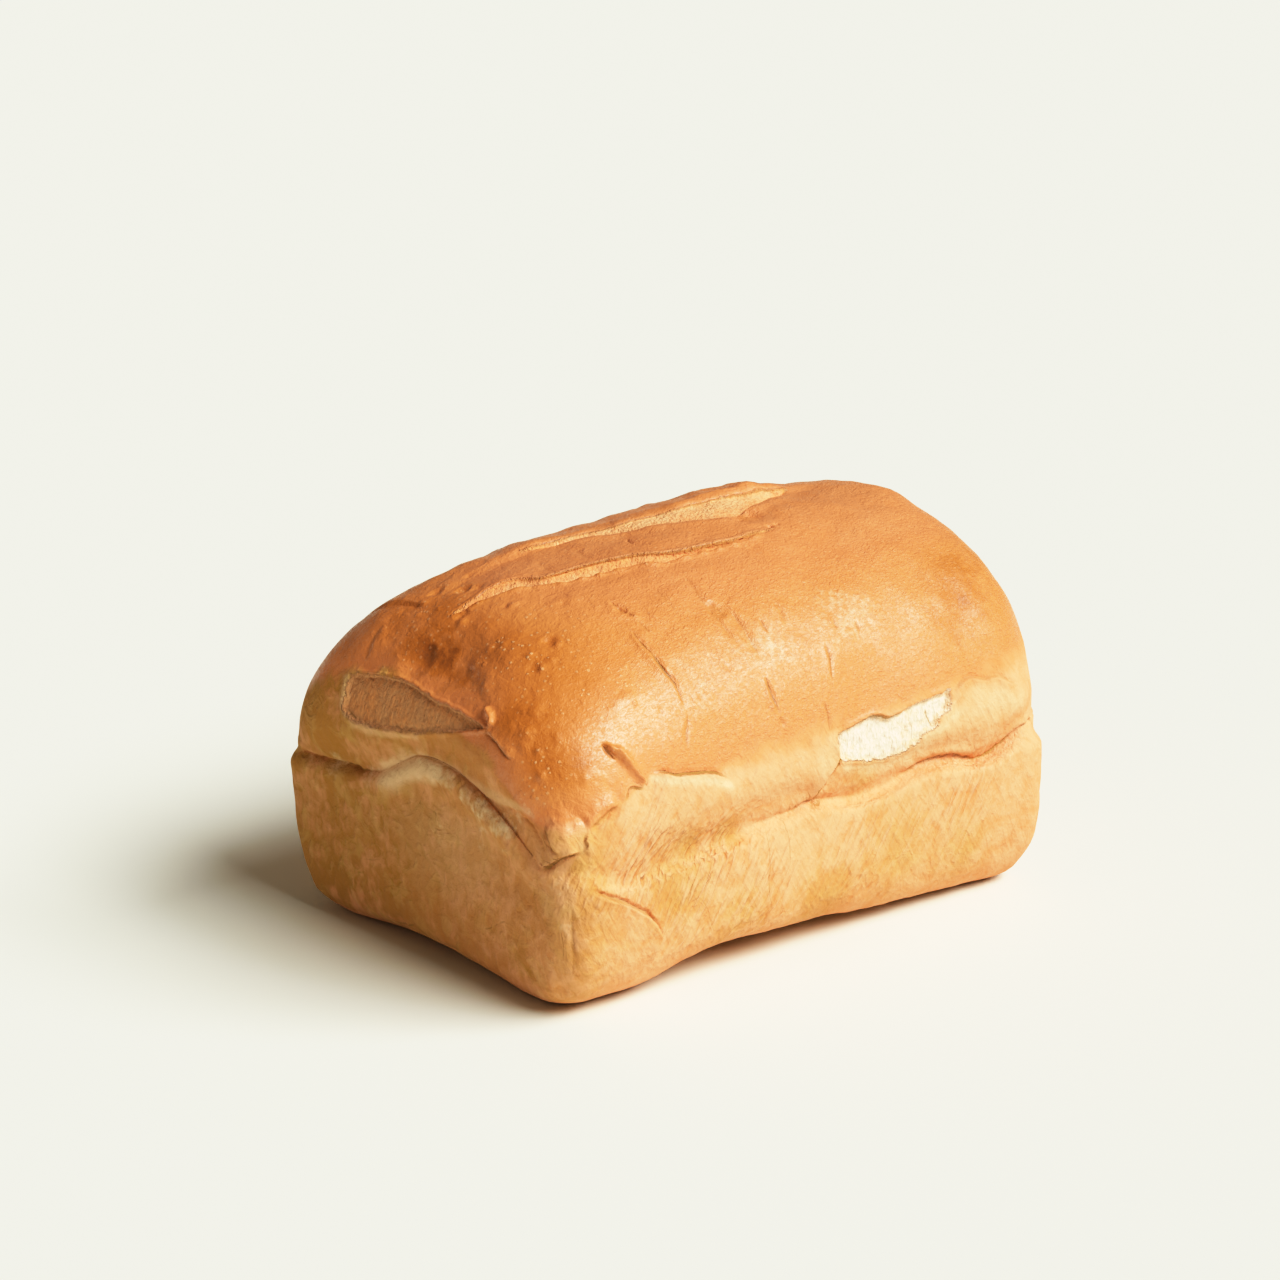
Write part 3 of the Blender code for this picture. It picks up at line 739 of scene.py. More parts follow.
def open_near_cut(loaf):
    """The near cut: a serrated front edge, a strip of crumb, and the ridge's thin crust standing over it."""
    chosen = loaf.zone(*NEAR_CUT_ZONE)
    x, y = loaf.plain[chosen, :2].T
    front, back = along(x, NEAR_FRONT, NEAR_SOFT), along(x, NEAR_BACK, NEAR_SOFT)
    places = np.linspace(*LEAN_PLACES)
    slope = np.gradient(along(places, NEAR_FRONT, 0.004), places)
    lean = np.cos(np.arctan(np.interp(x, places, slope)))
    wobble = NEAR_WOBBLE * loaf.uneven(chosen, NEAR_CUT_WANDER)
    past_front = (y - front) * lean + wobble
    past_back = (y - back) * lean + 0.6 * wobble
    width = np.maximum((back - front) * lean, SMALLEST_WIDTH)
    opened = smooth(width / NEAR_OPEN)
    rise = along(x, NEAR_RISE)

    nubs = 0.5 + 0.5 * np.sin(x / NUB_STEP * 2 * np.pi + 2.0 * np.sin(x * NUB_DRIFT))
    brow = bell(past_front, *BROW) * (BROW_HEIGHT + TOOTH_HEIGHT * nubs ** 2)
    floor = smooth(past_front / 0.0009)
    climb = smooth(past_front / np.maximum(width, 0.001)) ** 1.6
    lip = ramp(past_back, *RIDGE_LIP)
    ridge = np.exp(-np.maximum(past_back, 0.0) / RIDGE_FALL)
    crumb_height = floor * (-CUT_DEPTH * (1.0 - climb) + (rise - CRUMB_BELOW_RIDGE) * climb)
    ridge_height = (rise + RIDGE_EDGE * (past_back < RIDGE_EDGE_END)) * ridge
    lift = np.where(past_front < 0, brow, crumb_height * (1 - lip) + ridge_height * lip)
    loaf.points[chosen, 2] += lift * opened
    hang = RIDGE_HANG_DEPTH * bell(past_back, *RIDGE_HANG)
    tuck = RIDGE_TUCK_DEPTH * bell(past_back, *RIDGE_TUCK)
    loaf.points[chosen, 1] += (tuck - hang) * opened * smooth(rise / 0.001) * lean
    loaf.mark("torn", chosen, np.where(width > 0.0003, np.minimum(past_front, -past_back), -FAR_FROM_TEAR))
    # The crumb is darker towards the back: painted shade under the ridge's crust
    pale = NEAR_PALE + NEAR_SHADE_BACK * smooth(past_front / width) + NEAR_PALE_LEFT * ramp(x, *PALE_LEFT)
    loaf.mark("pale", chosen, opened * pale)
    shown = opened * ramp(x, *NEAR_CRACK_SHOWN)
    # A line of painted shade where the ridge's crust hangs over the crumb
    loaf.crack(chosen, past_back + 0.0003, CUT_CRACK_WIDTH, 0.5 * shown)
    loaf.mark("toast_and_shade", chosen, opened * NEAR_TOAST * bell(past_front, *NEAR_TOASTED) * (0.2 + nubs))


def open_far_cut(loaf):
    """The far cut: the ridge falls away into a wide strip of crumb, and the far flap stands up behind it."""
    chosen = loaf.zone(*FAR_CUT_ZONE)
    x, y = loaf.plain[chosen, :2].T
    front, back = along(x, FAR_FRONT, FAR_SOFT), along(x, FAR_BACK, FAR_SOFT)
    wobble = FAR_WOBBLE * loaf.uneven(chosen, FAR_CUT_WANDER)
    past_front = (y - front) * FAR_FRONT_LEAN + 0.5 * wobble
    past_back = (y - back) * FAR_BACK_LEAN + wobble
    width = np.maximum(back - front, SMALLEST_WIDTH)
    opened = smooth(width / FAR_OPEN)
    rise = along(x, FLAP_RISE)
    roll = along(x, FLAP_ROLL)

    floor = smooth(past_front / 0.0018)
    climb = smooth(past_front / width) ** 1.4
    lip = smooth((past_back - FLAP_LIP_START) / (FLAP_LIP_WIDTH + roll))
    flap = 1.0 - smooth((past_back - FLAP_WIDTH) / FLAP_FADE)
    crumb_height = floor * (-1.25 * CUT_DEPTH * (1.0 - climb) + 0.25 * rise * climb)
    shoulder = SHOULDER_HEIGHT * bell(past_front, *SHOULDER)
    cut = np.where(past_front < 0, shoulder, crumb_height * (1 - lip) + rise * lip * flap)
    whole = rise * ramp(past_back, *FLAP_FOOT) * flap
    uneven = 1.0 + FLAP_UNEVENNESS * loaf.uneven(chosen, FLAP_LUMPS)
    lift = (cut * opened + whole * (1 - opened)) * np.where(past_back > -0.001, uneven, 1.0)
    loaf.points[chosen, 2] += lift
    loaf.points[chosen, 1] -= FLAP_HANG_DEPTH * opened * bell(past_back, *FLAP_HANG)
    torn = np.minimum(past_front - 0.0002, -(past_back - 0.0006))
    loaf.mark("torn", chosen, np.where(width > 0.0005, torn, -FAR_FROM_TEAR))
    loaf.mark("pale", chosen, opened * (FAR_PALE + FAR_PALE_BACK * smooth(past_front / width)))
    # A line of painted shade at the foot of the far flap
    loaf.crack(chosen, past_back - 0.0003, CUT_CRACK_WIDTH, 0.5 * opened)
    loaf.mark("toast_and_shade", chosen, opened * FAR_TOAST * bell(past_back, *FAR_TOASTED))


# ---------------------------------------------------------------- fold, tears and creases

# Outlines of the torn patches beside the fold and of the shreds under it, and then of the two patches
# on the hidden sides: (place along the side, height)
NEAR_PATCH_SEEN = ((838, 735), (843, 731), (848, 729), (857, 724), (866, 719), (872, 716), (878, 714),
                   (883, 717), (888, 719), (893, 716), (899, 713), (904, 709), (909, 707), (917, 703),
                   (926, 699), (932, 697), (939, 694), (947, 690), (951, 696), (951, 703), (948, 709),
                   (942, 714), (938, 719), (935, 726), (930, 730), (924, 733), (918, 738), (914, 743),
                   (908, 748), (902, 752), (893, 756), (884, 759), (872, 761), (860, 761), (849, 761),
                   (842, 760), (839, 757), (838, 748))
LEFT_PATCH_SEEN = ((351, 673), (359, 673), (368, 674), (381, 675), (394, 677), (403, 680), (410, 683),
                   (421, 690), (432, 698), (442, 703), (451, 708), (463, 714), (474, 721), (487, 729),
                   (478, 730), (470, 729), (460, 731), (451, 731), (440, 732), (428, 731), (417, 732),
                   (406, 731), (394, 730), (383, 728), (371, 726), (361, 723), (353, 719), (347, 714),
                   (344, 706), (345, 695), (347, 684))
SHREDS_SEEN = ((459, 772), (470, 779), (481, 787), (492, 795), (504, 804), (516, 812), (524, 820),
               (528, 830), (524, 842), (516, 846), (507, 840), (497, 832), (486, 822), (474, 806),
               (464, 790), (458, 780))
FAR_PATCH = ((-0.052, 0.0700), (-0.045, 0.0725), (-0.030, 0.0735), (-0.016, 0.0722), (-0.008, 0.0705),
             (-0.012, 0.0660), (-0.022, 0.0620), (-0.036, 0.0605), (-0.048, 0.0640))
RIGHT_PATCH = ((-0.034, 0.0790), (-0.020, 0.0830), (0.0, 0.0850), (0.018, 0.0835), (0.030, 0.0800),
               (0.026, 0.0755), (0.010, 0.0735), (-0.012, 0.0730), (-0.028, 0.0745))
# Where the hidden patches lie: (span along X, span along Y, lowest height)
FAR_SIDE_ZONE = ((-0.2, 0.2), (0.055, 0.2), 0.045)
RIGHT_END_ZONE = ((0.080, 0.2), (-0.2, 0.2), 0.045)
# Each patch: (how far it is sunk, how pale it is, how high its edge curls, how rough its crumb is)
NEAR_TEAR = (0.0015, 1.0, 0.0004, 0.00030)
LEFT_TEAR = (0.0012, 0.06, 0.0005, 0.00030)
SHRED_TEAR = (0.0, 0.0, 0.0, 0.00040)
FAR_TEAR = (0.0009, 0.8, 0.0004, 0.00028)
RIGHT_TEAR = (0.0010, 0.45, 0.0004, 0.00028)
NEAR_TEAR_FOOT = 0.058
TEAR_FOOT_BLEND = 0.012
TEAR_MARGIN = 0.004
TEAR_WOBBLE = 0.0006
TORN_CURL = (-0.0006, 0.0007)
TORN_START = 0.2
TORN_STEP = 0.0009
FRAYED = 0.55
FRAYED_STEP = 0.003

# The fold's crevice on each side: (place along the side, height), and its strength by share along it
FOLD_NEAR_LINE = ((-0.094, 0.0460), (-0.080, 0.0432), (-0.060, 0.0450), (-0.040, 0.0466), (-0.030, 0.0484),
                  (-0.018, 0.0500), (-0.010, 0.0502), (-0.004, 0.0520), (0.002, 0.0512), (0.012, 0.0492),
                  (0.020, 0.0486), (0.030, 0.0496), (0.038, 0.0514), (0.045, 0.0530), (0.054, 0.0534),
                  (0.060, 0.0526), (0.065, 0.0508), (0.070, 0.0496), (0.075, 0.0506), (0.082, 0.0530),
                  (0.088, 0.0560), (0.094, 0.0570))
FOLD_NEAR_DEPTH = ((0.0, 0.1), (0.33, 0.1), (0.40, 0.45), (0.45, 0.7), (0.49, 0.90), (0.52, 0.50),
                   (0.58, 0.35), (0.66, 0.35), (0.71, 0.70), (0.77, 0.85), (0.83, 0.9), (0.90, 1.0),
                   (0.97, 0.9), (1.0, 0.5))
FOLD_LEFT_SEEN = ((306, 747), (318, 753), (330, 757), (341, 760), (353, 763), (363, 768), (374, 770),
                  (384, 769), (394, 766), (401, 761), (408, 755), (417, 751), (428, 753), (440, 759),
                  (459, 768), (470, 776), (481, 785), (492, 793), (504, 802), (516, 811), (527, 819),
                  (536, 829), (545, 842), (552, 856))
FOLD_LEFT_DEPTH = ((0.0, 0.5), (0.08, 0.65), (0.16, 0.75), (0.22, 0.70), (0.28, 0.45), (0.34, 0.15),
                   (0.50, 0.10), (0.62, 0.20), (0.75, 0.30), (0.86, 0.25), (0.95, 0.45), (1.0, 0.2))
FOLD_FAR_LINE = ((0.094, 0.0520), (0.070, 0.0505), (0.050, 0.0500), (0.030, 0.0530), (0.010, 0.0558),
                 (-0.010, 0.0550), (-0.030, 0.0540), (-0.050, 0.0508), (-0.070, 0.0488), (-0.094, 0.0510))
FOLD_FAR_DEPTH = ((0.0, 0.3), (0.15, 0.8), (0.35, 0.4), (0.5, 0.8), (0.7, 0.5), (0.85, 0.9), (1.0, 0.3))
FOLD_RIGHT_LINE = ((-0.064, 0.0535), (-0.050, 0.0550), (-0.035, 0.0565), (-0.020, 0.0600), (-0.005, 0.0620),
                   (0.010, 0.0612), (0.025, 0.0598), (0.040, 0.0560), (0.052, 0.0540), (0.064, 0.0525))
FOLD_RIGHT_DEPTH = ((0.0, 0.5), (0.2, 0.8), (0.5, 0.4), (0.7, 0.8), (1.0, 0.4))
# Its form across, each as the middle and the width of a bell, and its height or depth
FOLD_LIP = (0.0014, 0.0013)
FOLD_LIP_HEIGHT = 0.0007
FOLD_UNDER = (-0.0003, 0.0007)
FOLD_UNDER_DEPTH = 0.0011
FOLD_HOLLOW = (-0.0010, 0.0040)
FOLD_HOLLOW_DEPTH = 0.0004
FOLD_DROP = (0.0009, 0.0008)
FOLD_DROP_DEPTH = 0.0007
FRAYED_BAND = (-0.0018, 0.0022)


def deepen_fold(loaf, path, depths, valleys):
    """A crevice at the fold: the crown's lower lip hangs over the drawn-in wall."""
    chosen, across, share = loaf.beside(path, VALLEY_ABOVE)
    strength = np.interp(share, *np.array(depths).T)
    uneven = strength * (1.0 + 0.35 * loaf.uneven(chosen, FOLD_LUMPS))
    wander = across + 0.0004 * loaf.uneven(chosen, FOLD_WANDER)
    crevice = FOLD_LIP_HEIGHT * bell(wander, *FOLD_LIP) - FOLD_UNDER_DEPTH * bell(wander, *FOLD_UNDER)
    turned_in = 1.0 - smooth(np.where(across > 0, across / VALLEY_ABOVE, -across / VALLEY_BELOW))
    valley = np.interp(share, *np.array(valleys).T) * turned_in
    loaf.push(chosen, uneven * crevice - FOLD_HOLLOW_DEPTH * bell(wander, *FOLD_HOLLOW) - valley)
    loaf.points[chosen, 2] -= uneven * FOLD_DROP_DEPTH * bell(wander, *FOLD_DROP)
    # Painted shade along the crevice
    loaf.crack(chosen, wander + 0.0001, FOLD_CRACK_WIDTH, np.clip(1.3 * uneven - 0.50, 0.0, 1.0))
    loaf.mark("fray", chosen, 0.7 * smooth(strength - 0.3) * bell(across, *FRAYED_BAND))


def swell_lip(loaf):
    """The crown overhangs the wall just above the fold."""
    near, left, far, right = side_weights(loaf.plain)
    above = loaf.above_fold
    bulge = smooth(above / LIP_BLEND) * np.exp(-np.maximum(above, 0) / LIP_THICKNESS)
    x, y = loaf.plain[:, 0], loaf.plain[:, 1]
    amount = (near + far) * along(x, LIP_NEAR) + (left + right) * along(y, LIP_LEFT)
    filled_in = left * along(y, FILL_LEFT) * bell(above, -FILL_BELOW, FILL_HEIGHT)
    loaf.push(slice(None), bulge * amount + filled_in)


def tear(loaf, chosen, depth_in, sink, pale, brow, fibre, torn=True, shallow=0.0):
    """A patch where the crust has torn away: sunk crumb with an uneven, fibrous surface. It is shallow
    at the stated height and below."""
    wobbled = depth_in + TEAR_WOBBLE * loaf.uneven(chosen, TEAR_WANDER)
    near = wobbled > -TEAR_MARGIN
    chosen, wobbled = chosen[near], wobbled[near]
    sunk = smooth(wobbled / TORN_STEP + TORN_START)
    sink = sink * smooth((loaf.plain[chosen, 2] - shallow) / TEAR_FOOT_BLEND)
    fibres = loaf.uneven(chosen, CRUMB_FIBRES) * fibre
    curl = bell(wobbled, *TORN_CURL) * brow
    loaf.push(chosen, -sink * sunk + fibres * sunk + curl)
    if torn:
        loaf.mark("torn", chosen, wobbled)
        loaf.mark("pale", chosen, np.full(len(chosen), pale))
    else:
        loaf.mark("fray", chosen, FRAYED * smooth(wobbled / FRAYED_STEP))


def tear_patches(loaf):
    """The torn patches beside the fold, and the shreds under it at the left end."""
    x, y, z = loaf.plain.T
    far, right = loaf.zone(*FAR_SIDE_ZONE), loaf.zone(*RIGHT_END_ZONE)
    tear(loaf, *loaf.within(NEAR_PATCH_SEEN), *NEAR_TEAR, shallow=NEAR_TEAR_FOOT)
    tear(loaf, *loaf.within(LEFT_PATCH_SEEN), *LEFT_TEAR)
    tear(loaf, *loaf.within(SHREDS_SEEN), *SHRED_TEAR, torn=False)
    tear(loaf, far, inside(x[far], z[far], FAR_PATCH), *FAR_TEAR)
    tear(loaf, right, inside(y[right], z[right], RIGHT_PATCH), *RIGHT_TEAR)


# Creases in the glazed crown: (path, width, depth, rim, darkness of the painted shade in them)
CREASES_SEEN = (
    (((628, 628), (639, 641), (651, 653), (662, 668), (673, 681), (681, 698), (686, 713)),
     0.0008, 0.0007, -0.0005, 0.75),
    (((686, 713), (687, 724), (685, 738), (687, 750)), 0.0007, 0.0003, -0.0001, 0.35),
    (((681, 572), (699, 597), (712, 612), (726, 630), (745, 655)), 0.0012, 0.0003, 0.0002, 0.18),
    (((706, 600), (717, 609), (728, 617)), 0.0020, 0.0007, 0.0, 0.15),
    (((724, 606), (740, 622), (751, 640), (760, 658)), 0.0012, 0.0004, 0.0002, 0.28),
    (((758, 617), (763, 624), (769, 633)), 0.0006, 0.0004, -0.0002, 0.45),
    (((772, 600), (781, 610), (786, 626)), 0.0008, 0.0003, 0.0001, 0.22),
    (((764, 676), (768, 685), (771, 693), (776, 706), (781, 718)), 0.0007, 0.0006, -0.0003, 0.6),
    (((779, 716), (784, 726)), 0.0010, 0.0004, 0.0, 0.2),
    (((824, 641), (829, 653), (831, 668), (832, 682)), 0.0006, 0.0004, -0.0002, 0.45),
    (((833, 618), (837, 630)), 0.0005, 0.0003, 0.0, 0.3),
    (((855, 621), (860, 631)), 0.0005, 0.0004, -0.0001, 0.4),
    (((823, 700), (828, 716), (830, 733)), 0.0006, 0.0003, 0.0002, 0.3),
    (((722, 659), (727, 667), (732, 674)), 0.0006, 0.0003, 0.0, 0.3),
    (((698, 695), (703, 701)), 0.0005, 0.0003, 0.0, 0.12),
    (((658, 707), (663, 715)), 0.0005, 0.0003, 0.0, 0.12),
    (((608, 601), (616, 607), (624, 612), (636, 620)), 0.0010, 0.0006, -0.0003, 0.35),
    (((636, 620), (643, 626), (650, 633)), 0.0006, 0.0003, 0.0, 0.3),
    (((652, 586), (668, 604), (684, 622)), 0.0010, 0.0001, 0.0, 0.12),
    (((457, 655), (464, 668), (474, 684), (487, 702)), 0.0018, 0.0004, 0.0006, 0.12),
    (((423, 602), (407, 611), (396, 616)), 0.0018, 0.0003, 0.0, 0.04),
    (((386, 624), (373, 639), (363, 662)), 0.0014, 0.0005, 0.0004, 0.2),
    (((626, 537), (629, 541), (633, 545)), 0.0006, 0.0005, 0.0, 0.3),
    (((573, 548), (582, 556), (592, 562)), 0.0014, 0.0003, 0.0, 0.1),
    (((536, 562), (545, 570), (556, 574)), 0.0014, 0.0004, 0.0, 0.1),
    (((520, 580), (528, 586), (540, 590)), 0.0012, 0.0003, 0.0, 0.2),
    (((588, 831), (596, 824), (604, 817), (612, 810), (621, 803)), 0.0012, 0.0012, 0.0006, 0.45),
    (((844, 720), (841, 736), (841, 748), (841, 759), (837, 766), (832, 773), (828, 783), (822, 792),
      (818, 800), (810, 813)), 0.0011, 0.0008, 0.0, 1.0),
    (((572, 905), (571, 925), (573, 945), (573, 975)), 0.0010, 0.0004, 0.0, 0.25),
)

# Steps where one sheet of crust stands over the next, on the path's left, or on its right where the
# height is negative: (path, height, edge, fall, darkness of the painted shade at the foot)
LEDGES_SEEN = (
    (((728, 779), (719, 775), (710, 772), (699, 773), (685, 774), (675, 776), (669, 774), (662, 772),
      (650, 772)), 0.0019, 0.00045, 0.007, 0.85),
    (((835, 731), (834, 740), (836, 748), (836, 759), (831, 767), (826, 773), (822, 783), (816, 792),
      (812, 800)), -0.0020, 0.0005, 0.008, 0.0),
    (((840, 733), (848, 729), (857, 724), (866, 719), (878, 714), (888, 718), (899, 713), (909, 707)),
     0.0006, 0.0003, 0.004, 0.50),
    (((645, 788), (640, 789), (634, 787), (628, 788), (627, 794), (625, 802)), -0.0006, 0.0003, 0.003, 0.7),
    (((487, 732), (496, 740), (504, 752), (513, 761)), 0.0007, 0.0004, 0.004, 0.55),
    (((655, 962), (653, 951), (656, 942), (659, 933), (654, 923), (645, 914), (636, 909), (623, 902),
      (611, 899), (599, 895), (588, 890)), 0.0028, 0.0006, 0.010, 0.45),
    (((588, 831), (596, 824), (604, 817), (612, 810), (621, 803)), 0.0010, 0.0010, 0.006, 0.0),
    (((545, 873), (551, 864), (560, 858), (570, 854), (581, 851)), 0.0020, 0.0006, 0.006, 0.80),
    (((561, 853), (555, 846), (550, 835), (546, 825)), -0.0013, 0.0006, 0.005, 0.50),
    (((582, 851), (588, 845), (583, 839), (590, 833)), -0.0008, 0.0005, 0.004, 0.20),
    (((549, 817), (562, 820), (577, 819), (586, 827)), -0.0006, 0.0008, 0.005, 0.0),
    (((951, 700), (955, 690), (962, 681), (969, 677), (975, 677), (985, 680), (993, 676), (1001, 677),
      (1010, 683), (1020, 688)), -0.0010, 0.0005, 0.006, 0.25),
)

# Cracks too fine to stand up, darkened with painted shade: (path, darkness)
CRACKS_SEEN = (
    (((767, 822), (769, 845), (770, 870), (768, 890), (771, 915)), 0.32),
    (((783, 806), (786, 826), (790, 850), (789, 872)), 0.28),
    (((790, 806), (796, 812), (799, 803)), 0.7),
    (((815, 800), (820, 806), (826, 800)), 0.7),
    (((806, 790), (812, 800), (818, 812)), 0.3),
    (((926, 709), (928, 717), (931, 726)), 0.6),
    (((776, 757), (800, 747), (822, 745)), 0.08),
    (((430, 787), (424, 792), (421, 801), (414, 813)), 0.28),
    (((424, 806), (435, 811), (440, 822), (435, 833), (428, 838)), 0.22),
    (((364, 858), (373, 860), (387, 857)), 0.28),
    (((476, 929), (489, 929), (500, 922), (509, 921), (514, 927)), 0.30),
    (((325, 811), (334, 806), (343, 802), (344, 797)), 0.17),
    (((340, 780), (346, 790), (345, 806), (350, 824)), 0.12),
    (((383, 914), (391, 920), (400, 925), (409, 926), (416, 924)), 0.44),
    (((437, 938), (447, 945), (459, 949)), 0.39),
    (((368, 880), (380, 888), (396, 884), (410, 892), (424, 890)), 0.14),
    (((420, 868), (430, 880), (446, 884), (452, 896)), 0.14),
    (((450, 866), (456, 880), (468, 890)), 0.12),
    (((346, 708), (350, 714), (356, 719)), 0.44),
    (((348, 672), (347, 690), (346, 706)), 0.17),
    (((560, 930), (564, 945), (563, 962)), 0.3),
    (((697, 897), (707, 905), (709, 920), (714, 934)), 0.22),
    (((1008, 842), (1016, 820), (1024, 800)), 0.16),
)
# The rolled flap on the near side, and the curl at the left end: their paths
FLAP_GROOVE_SEEN = ((601, 743), (605, 749), (610, 755), (615, 760))
FLAP_SHADE_SEEN = ((636, 768), (641, 776), (646, 783), (648, 789))
FLAP_FOLD_SEEN = ((603, 743), (610, 748), (619, 754), (627, 762), (635, 771), (641, 780), (645, 787))
CURL_SEEN = ((485, 706), (491, 714), (494, 721), (489, 730))
# Their furrows, or ridges where the depth is negative: (width, depth, rim, darkness of the painted shade,
# share of the ends)
FLAP_FOLD = (0.0013, -0.0024, 0.0, 0.0, 0.15)
FLAP_GROOVE = (0.0005, 0.0008, 0.0, 0.8, 0.2)
FLAP_SHADE = (0.0005, 0.0006, 0.0, 0.6, 0.2)
CURL = (0.0009, -0.0018, 0.0, 0.0, 0.25)

# Small hollows and blisters in the crust: (picture place, radius, depth)
DIMPLES_SEEN = (
    ((549, 640), 0.0022, 0.0007), ((558, 644), 0.0012, -0.0005), ((552, 659), 0.0014, -0.0004),
    ((534, 668), 0.0022, 0.0005), ((541, 668), 0.0018, -0.0004), ((562, 604), 0.0018, 0.0004),
    ((513, 605), 0.0012, -0.0005), ((505, 606), 0.0010, 0.0004), ((519, 602), 0.0010, -0.0004),
    ((634, 617), 0.0011, -0.0004), ((652, 616), 0.0010, -0.0004), ((620, 611), 0.0020, 0.0005),
    ((627, 700), 0.0042, -0.0005), ((633, 703), 0.0010, -0.0002), ((461, 613), 0.0026, 0.0006),
    ((461, 622), 0.0015, -0.0006), ((463, 590), 0.0026, 0.0008), ((436, 594), 0.0024, 0.0007),
    ((478, 588), 0.0018, 0.0006), ((468, 578), 0.0015, 0.0004), ((488, 647), 0.0012, -0.0004),
    ((530, 655), 0.0010, -0.0003), ((503, 643), 0.0009, -0.0003), ((473, 663), 0.0012, -0.0005),
    ((418, 615), 0.0010, -0.0004), ((397, 656), 0.0010, -0.0003), ((439, 609), 0.0010, -0.0004),
    ((770, 526), 0.0010, 0.0006), ((776, 524), 0.0008, 0.0005), ((782, 519), 0.0008, 0.0003),
    ((527, 734), 0.0018, -0.0006), ((524, 747), 0.0013, -0.0005), ((538, 752), 0.0012, -0.0005),
    ((541, 776), 0.0013, -0.0006), ((585, 780), 0.0012, -0.0004), ((602, 778), 0.0011, -0.0003),
    ((557, 737), 0.0010, -0.0003), ((535, 712), 0.0016, -0.0004), ((750, 512), 0.0034, 0.0010),
    ((739, 518), 0.0028, 0.0006), ((562, 990), 0.0030, 0.0005), ((693, 903), 0.0018, 0.0004),
    ((770, 876), 0.0016, 0.0003), ((1002, 848), 0.0016, 0.0004), ((902, 870), 0.0016, 0.0003),
    ((412, 664), 0.0050, 0.0010), ((424, 656), 0.0036, 0.0006), ((400, 921), 0.0030, 0.0008),
)


def crease_crust(loaf, tree):
    """The creases, steps, fine cracks, hollows and blisters of the crust."""
    for path, width, depth, rim, crease_shade in CREASES_SEEN:
        furrow(loaf, softened(seen(tree, path)), width, depth, rim, crease_shade)
    for path, height, edge, fall, crease_shade in LEDGES_SEEN:
        laid = softened(seen(tree, path))
        ledge(loaf, laid if height > 0 else laid[::-1], abs(height), edge, fall, crease_shade)
    for path, strength in CRACKS_SEEN:
        chosen, across, share = loaf.beside(softened(seen(tree, path)), CRACK_REACH)
        fade = tapered(share, FINE_CRACK_ENDS)
        loaf.push(chosen, -FINE_CRACK_DEPTH * strength * fade * bell(across, 0.0, 2 * FINE_CRACK_WIDTH))
        # Painted shade along each fine crack
        loaf.crack(chosen, across, FINE_CRACK_WIDTH, strength * fade)
    for spot, radius, depth in DIMPLES_SEEN:
        dimple(loaf, seen(tree, (spot,))[0], radius, depth)


def turn_flap(loaf, tree):
    """The rolled flap of crust on the near side, and the small curl at the left end."""
    for path, form in ((FLAP_FOLD_SEEN, FLAP_FOLD), (FLAP_GROOVE_SEEN, FLAP_GROOVE),
                       (FLAP_SHADE_SEEN, FLAP_SHADE), (CURL_SEEN, CURL)):
        furrow(loaf, softened(seen(tree, path)), *form)


def fold_lines(tree):
    """The fold on each side, running to the right as seen from outside, with its depth along it."""
    return (
        (softened(carried(tree, FOLD_NEAR_LINE, "near")), FOLD_NEAR_DEPTH, VALLEY_NEAR),
        (softened(seen(tree, FOLD_LEFT_SEEN)), FOLD_LEFT_DEPTH, VALLEY_LEFT),
        (softened(carried(tree, FOLD_FAR_LINE, "far")), FOLD_FAR_DEPTH, VALLEY_HIDDEN),
        (softened(carried(tree, FOLD_RIGHT_LINE, "right")), FOLD_RIGHT_DEPTH, VALLEY_HIDDEN),
    )


# Broad swells and hollows: (place, radius along each axis, height)
SWELLS = (
    ((-0.096, -0.066, 0.060), (0.012, 0.012, 0.010), 0.0022),
    ((-0.100, 0.060, 0.070), (0.020, 0.030, 0.030), 0.0014),
    ((0.086, 0.010, 0.114), (0.022, 0.045, 0.030), 0.0016),
    ((-0.028, -0.073, 0.064), (0.038, 0.016, 0.009), 0.0016),
    ((0.078, -0.072, 0.067), (0.028, 0.016, 0.012), 0.0010),
    ((-0.082, -0.071, 0.024), (0.022, 0.016, 0.026), 0.0008),
    ((-0.094, -0.004, 0.100), (0.018, 0.028, 0.016), -0.0022),
    ((-0.086, 0.040, 0.104), (0.020, 0.020, 0.020), 0.0012),
    ((0.028, -0.006, 0.122), (0.012, 0.010, 0.020), -0.0013),
    ((-0.040, -0.073, 0.047), (0.040, 0.016, 0.009), -0.0014),
    ((-0.050, -0.073, 0.062), (0.050, 0.016, 0.012), 0.0012),
    ((0.030, -0.072, 0.057), (0.034, 0.014, 0.007), -0.0009),
    ((-0.006, -0.072, 0.064), (0.016, 0.014, 0.010), 0.0010),
)
# The height above the table at which lumps are full, the heights over which the crown's own lumps set in,
# and the distances from the fold over which the walls' do
FREE_ABOVE = 0.006
CROWN_LUMPS_BLEND = (0.085, 0.105)
WALL_LUMPS_BLEND = (0.004, -0.006)
DOUGH_LUMPS_HEIGHT = 0.0007
CROWN_LUMPS_HEIGHT = 0.00045
WALL_LUMPS_HEIGHT = 0.00028


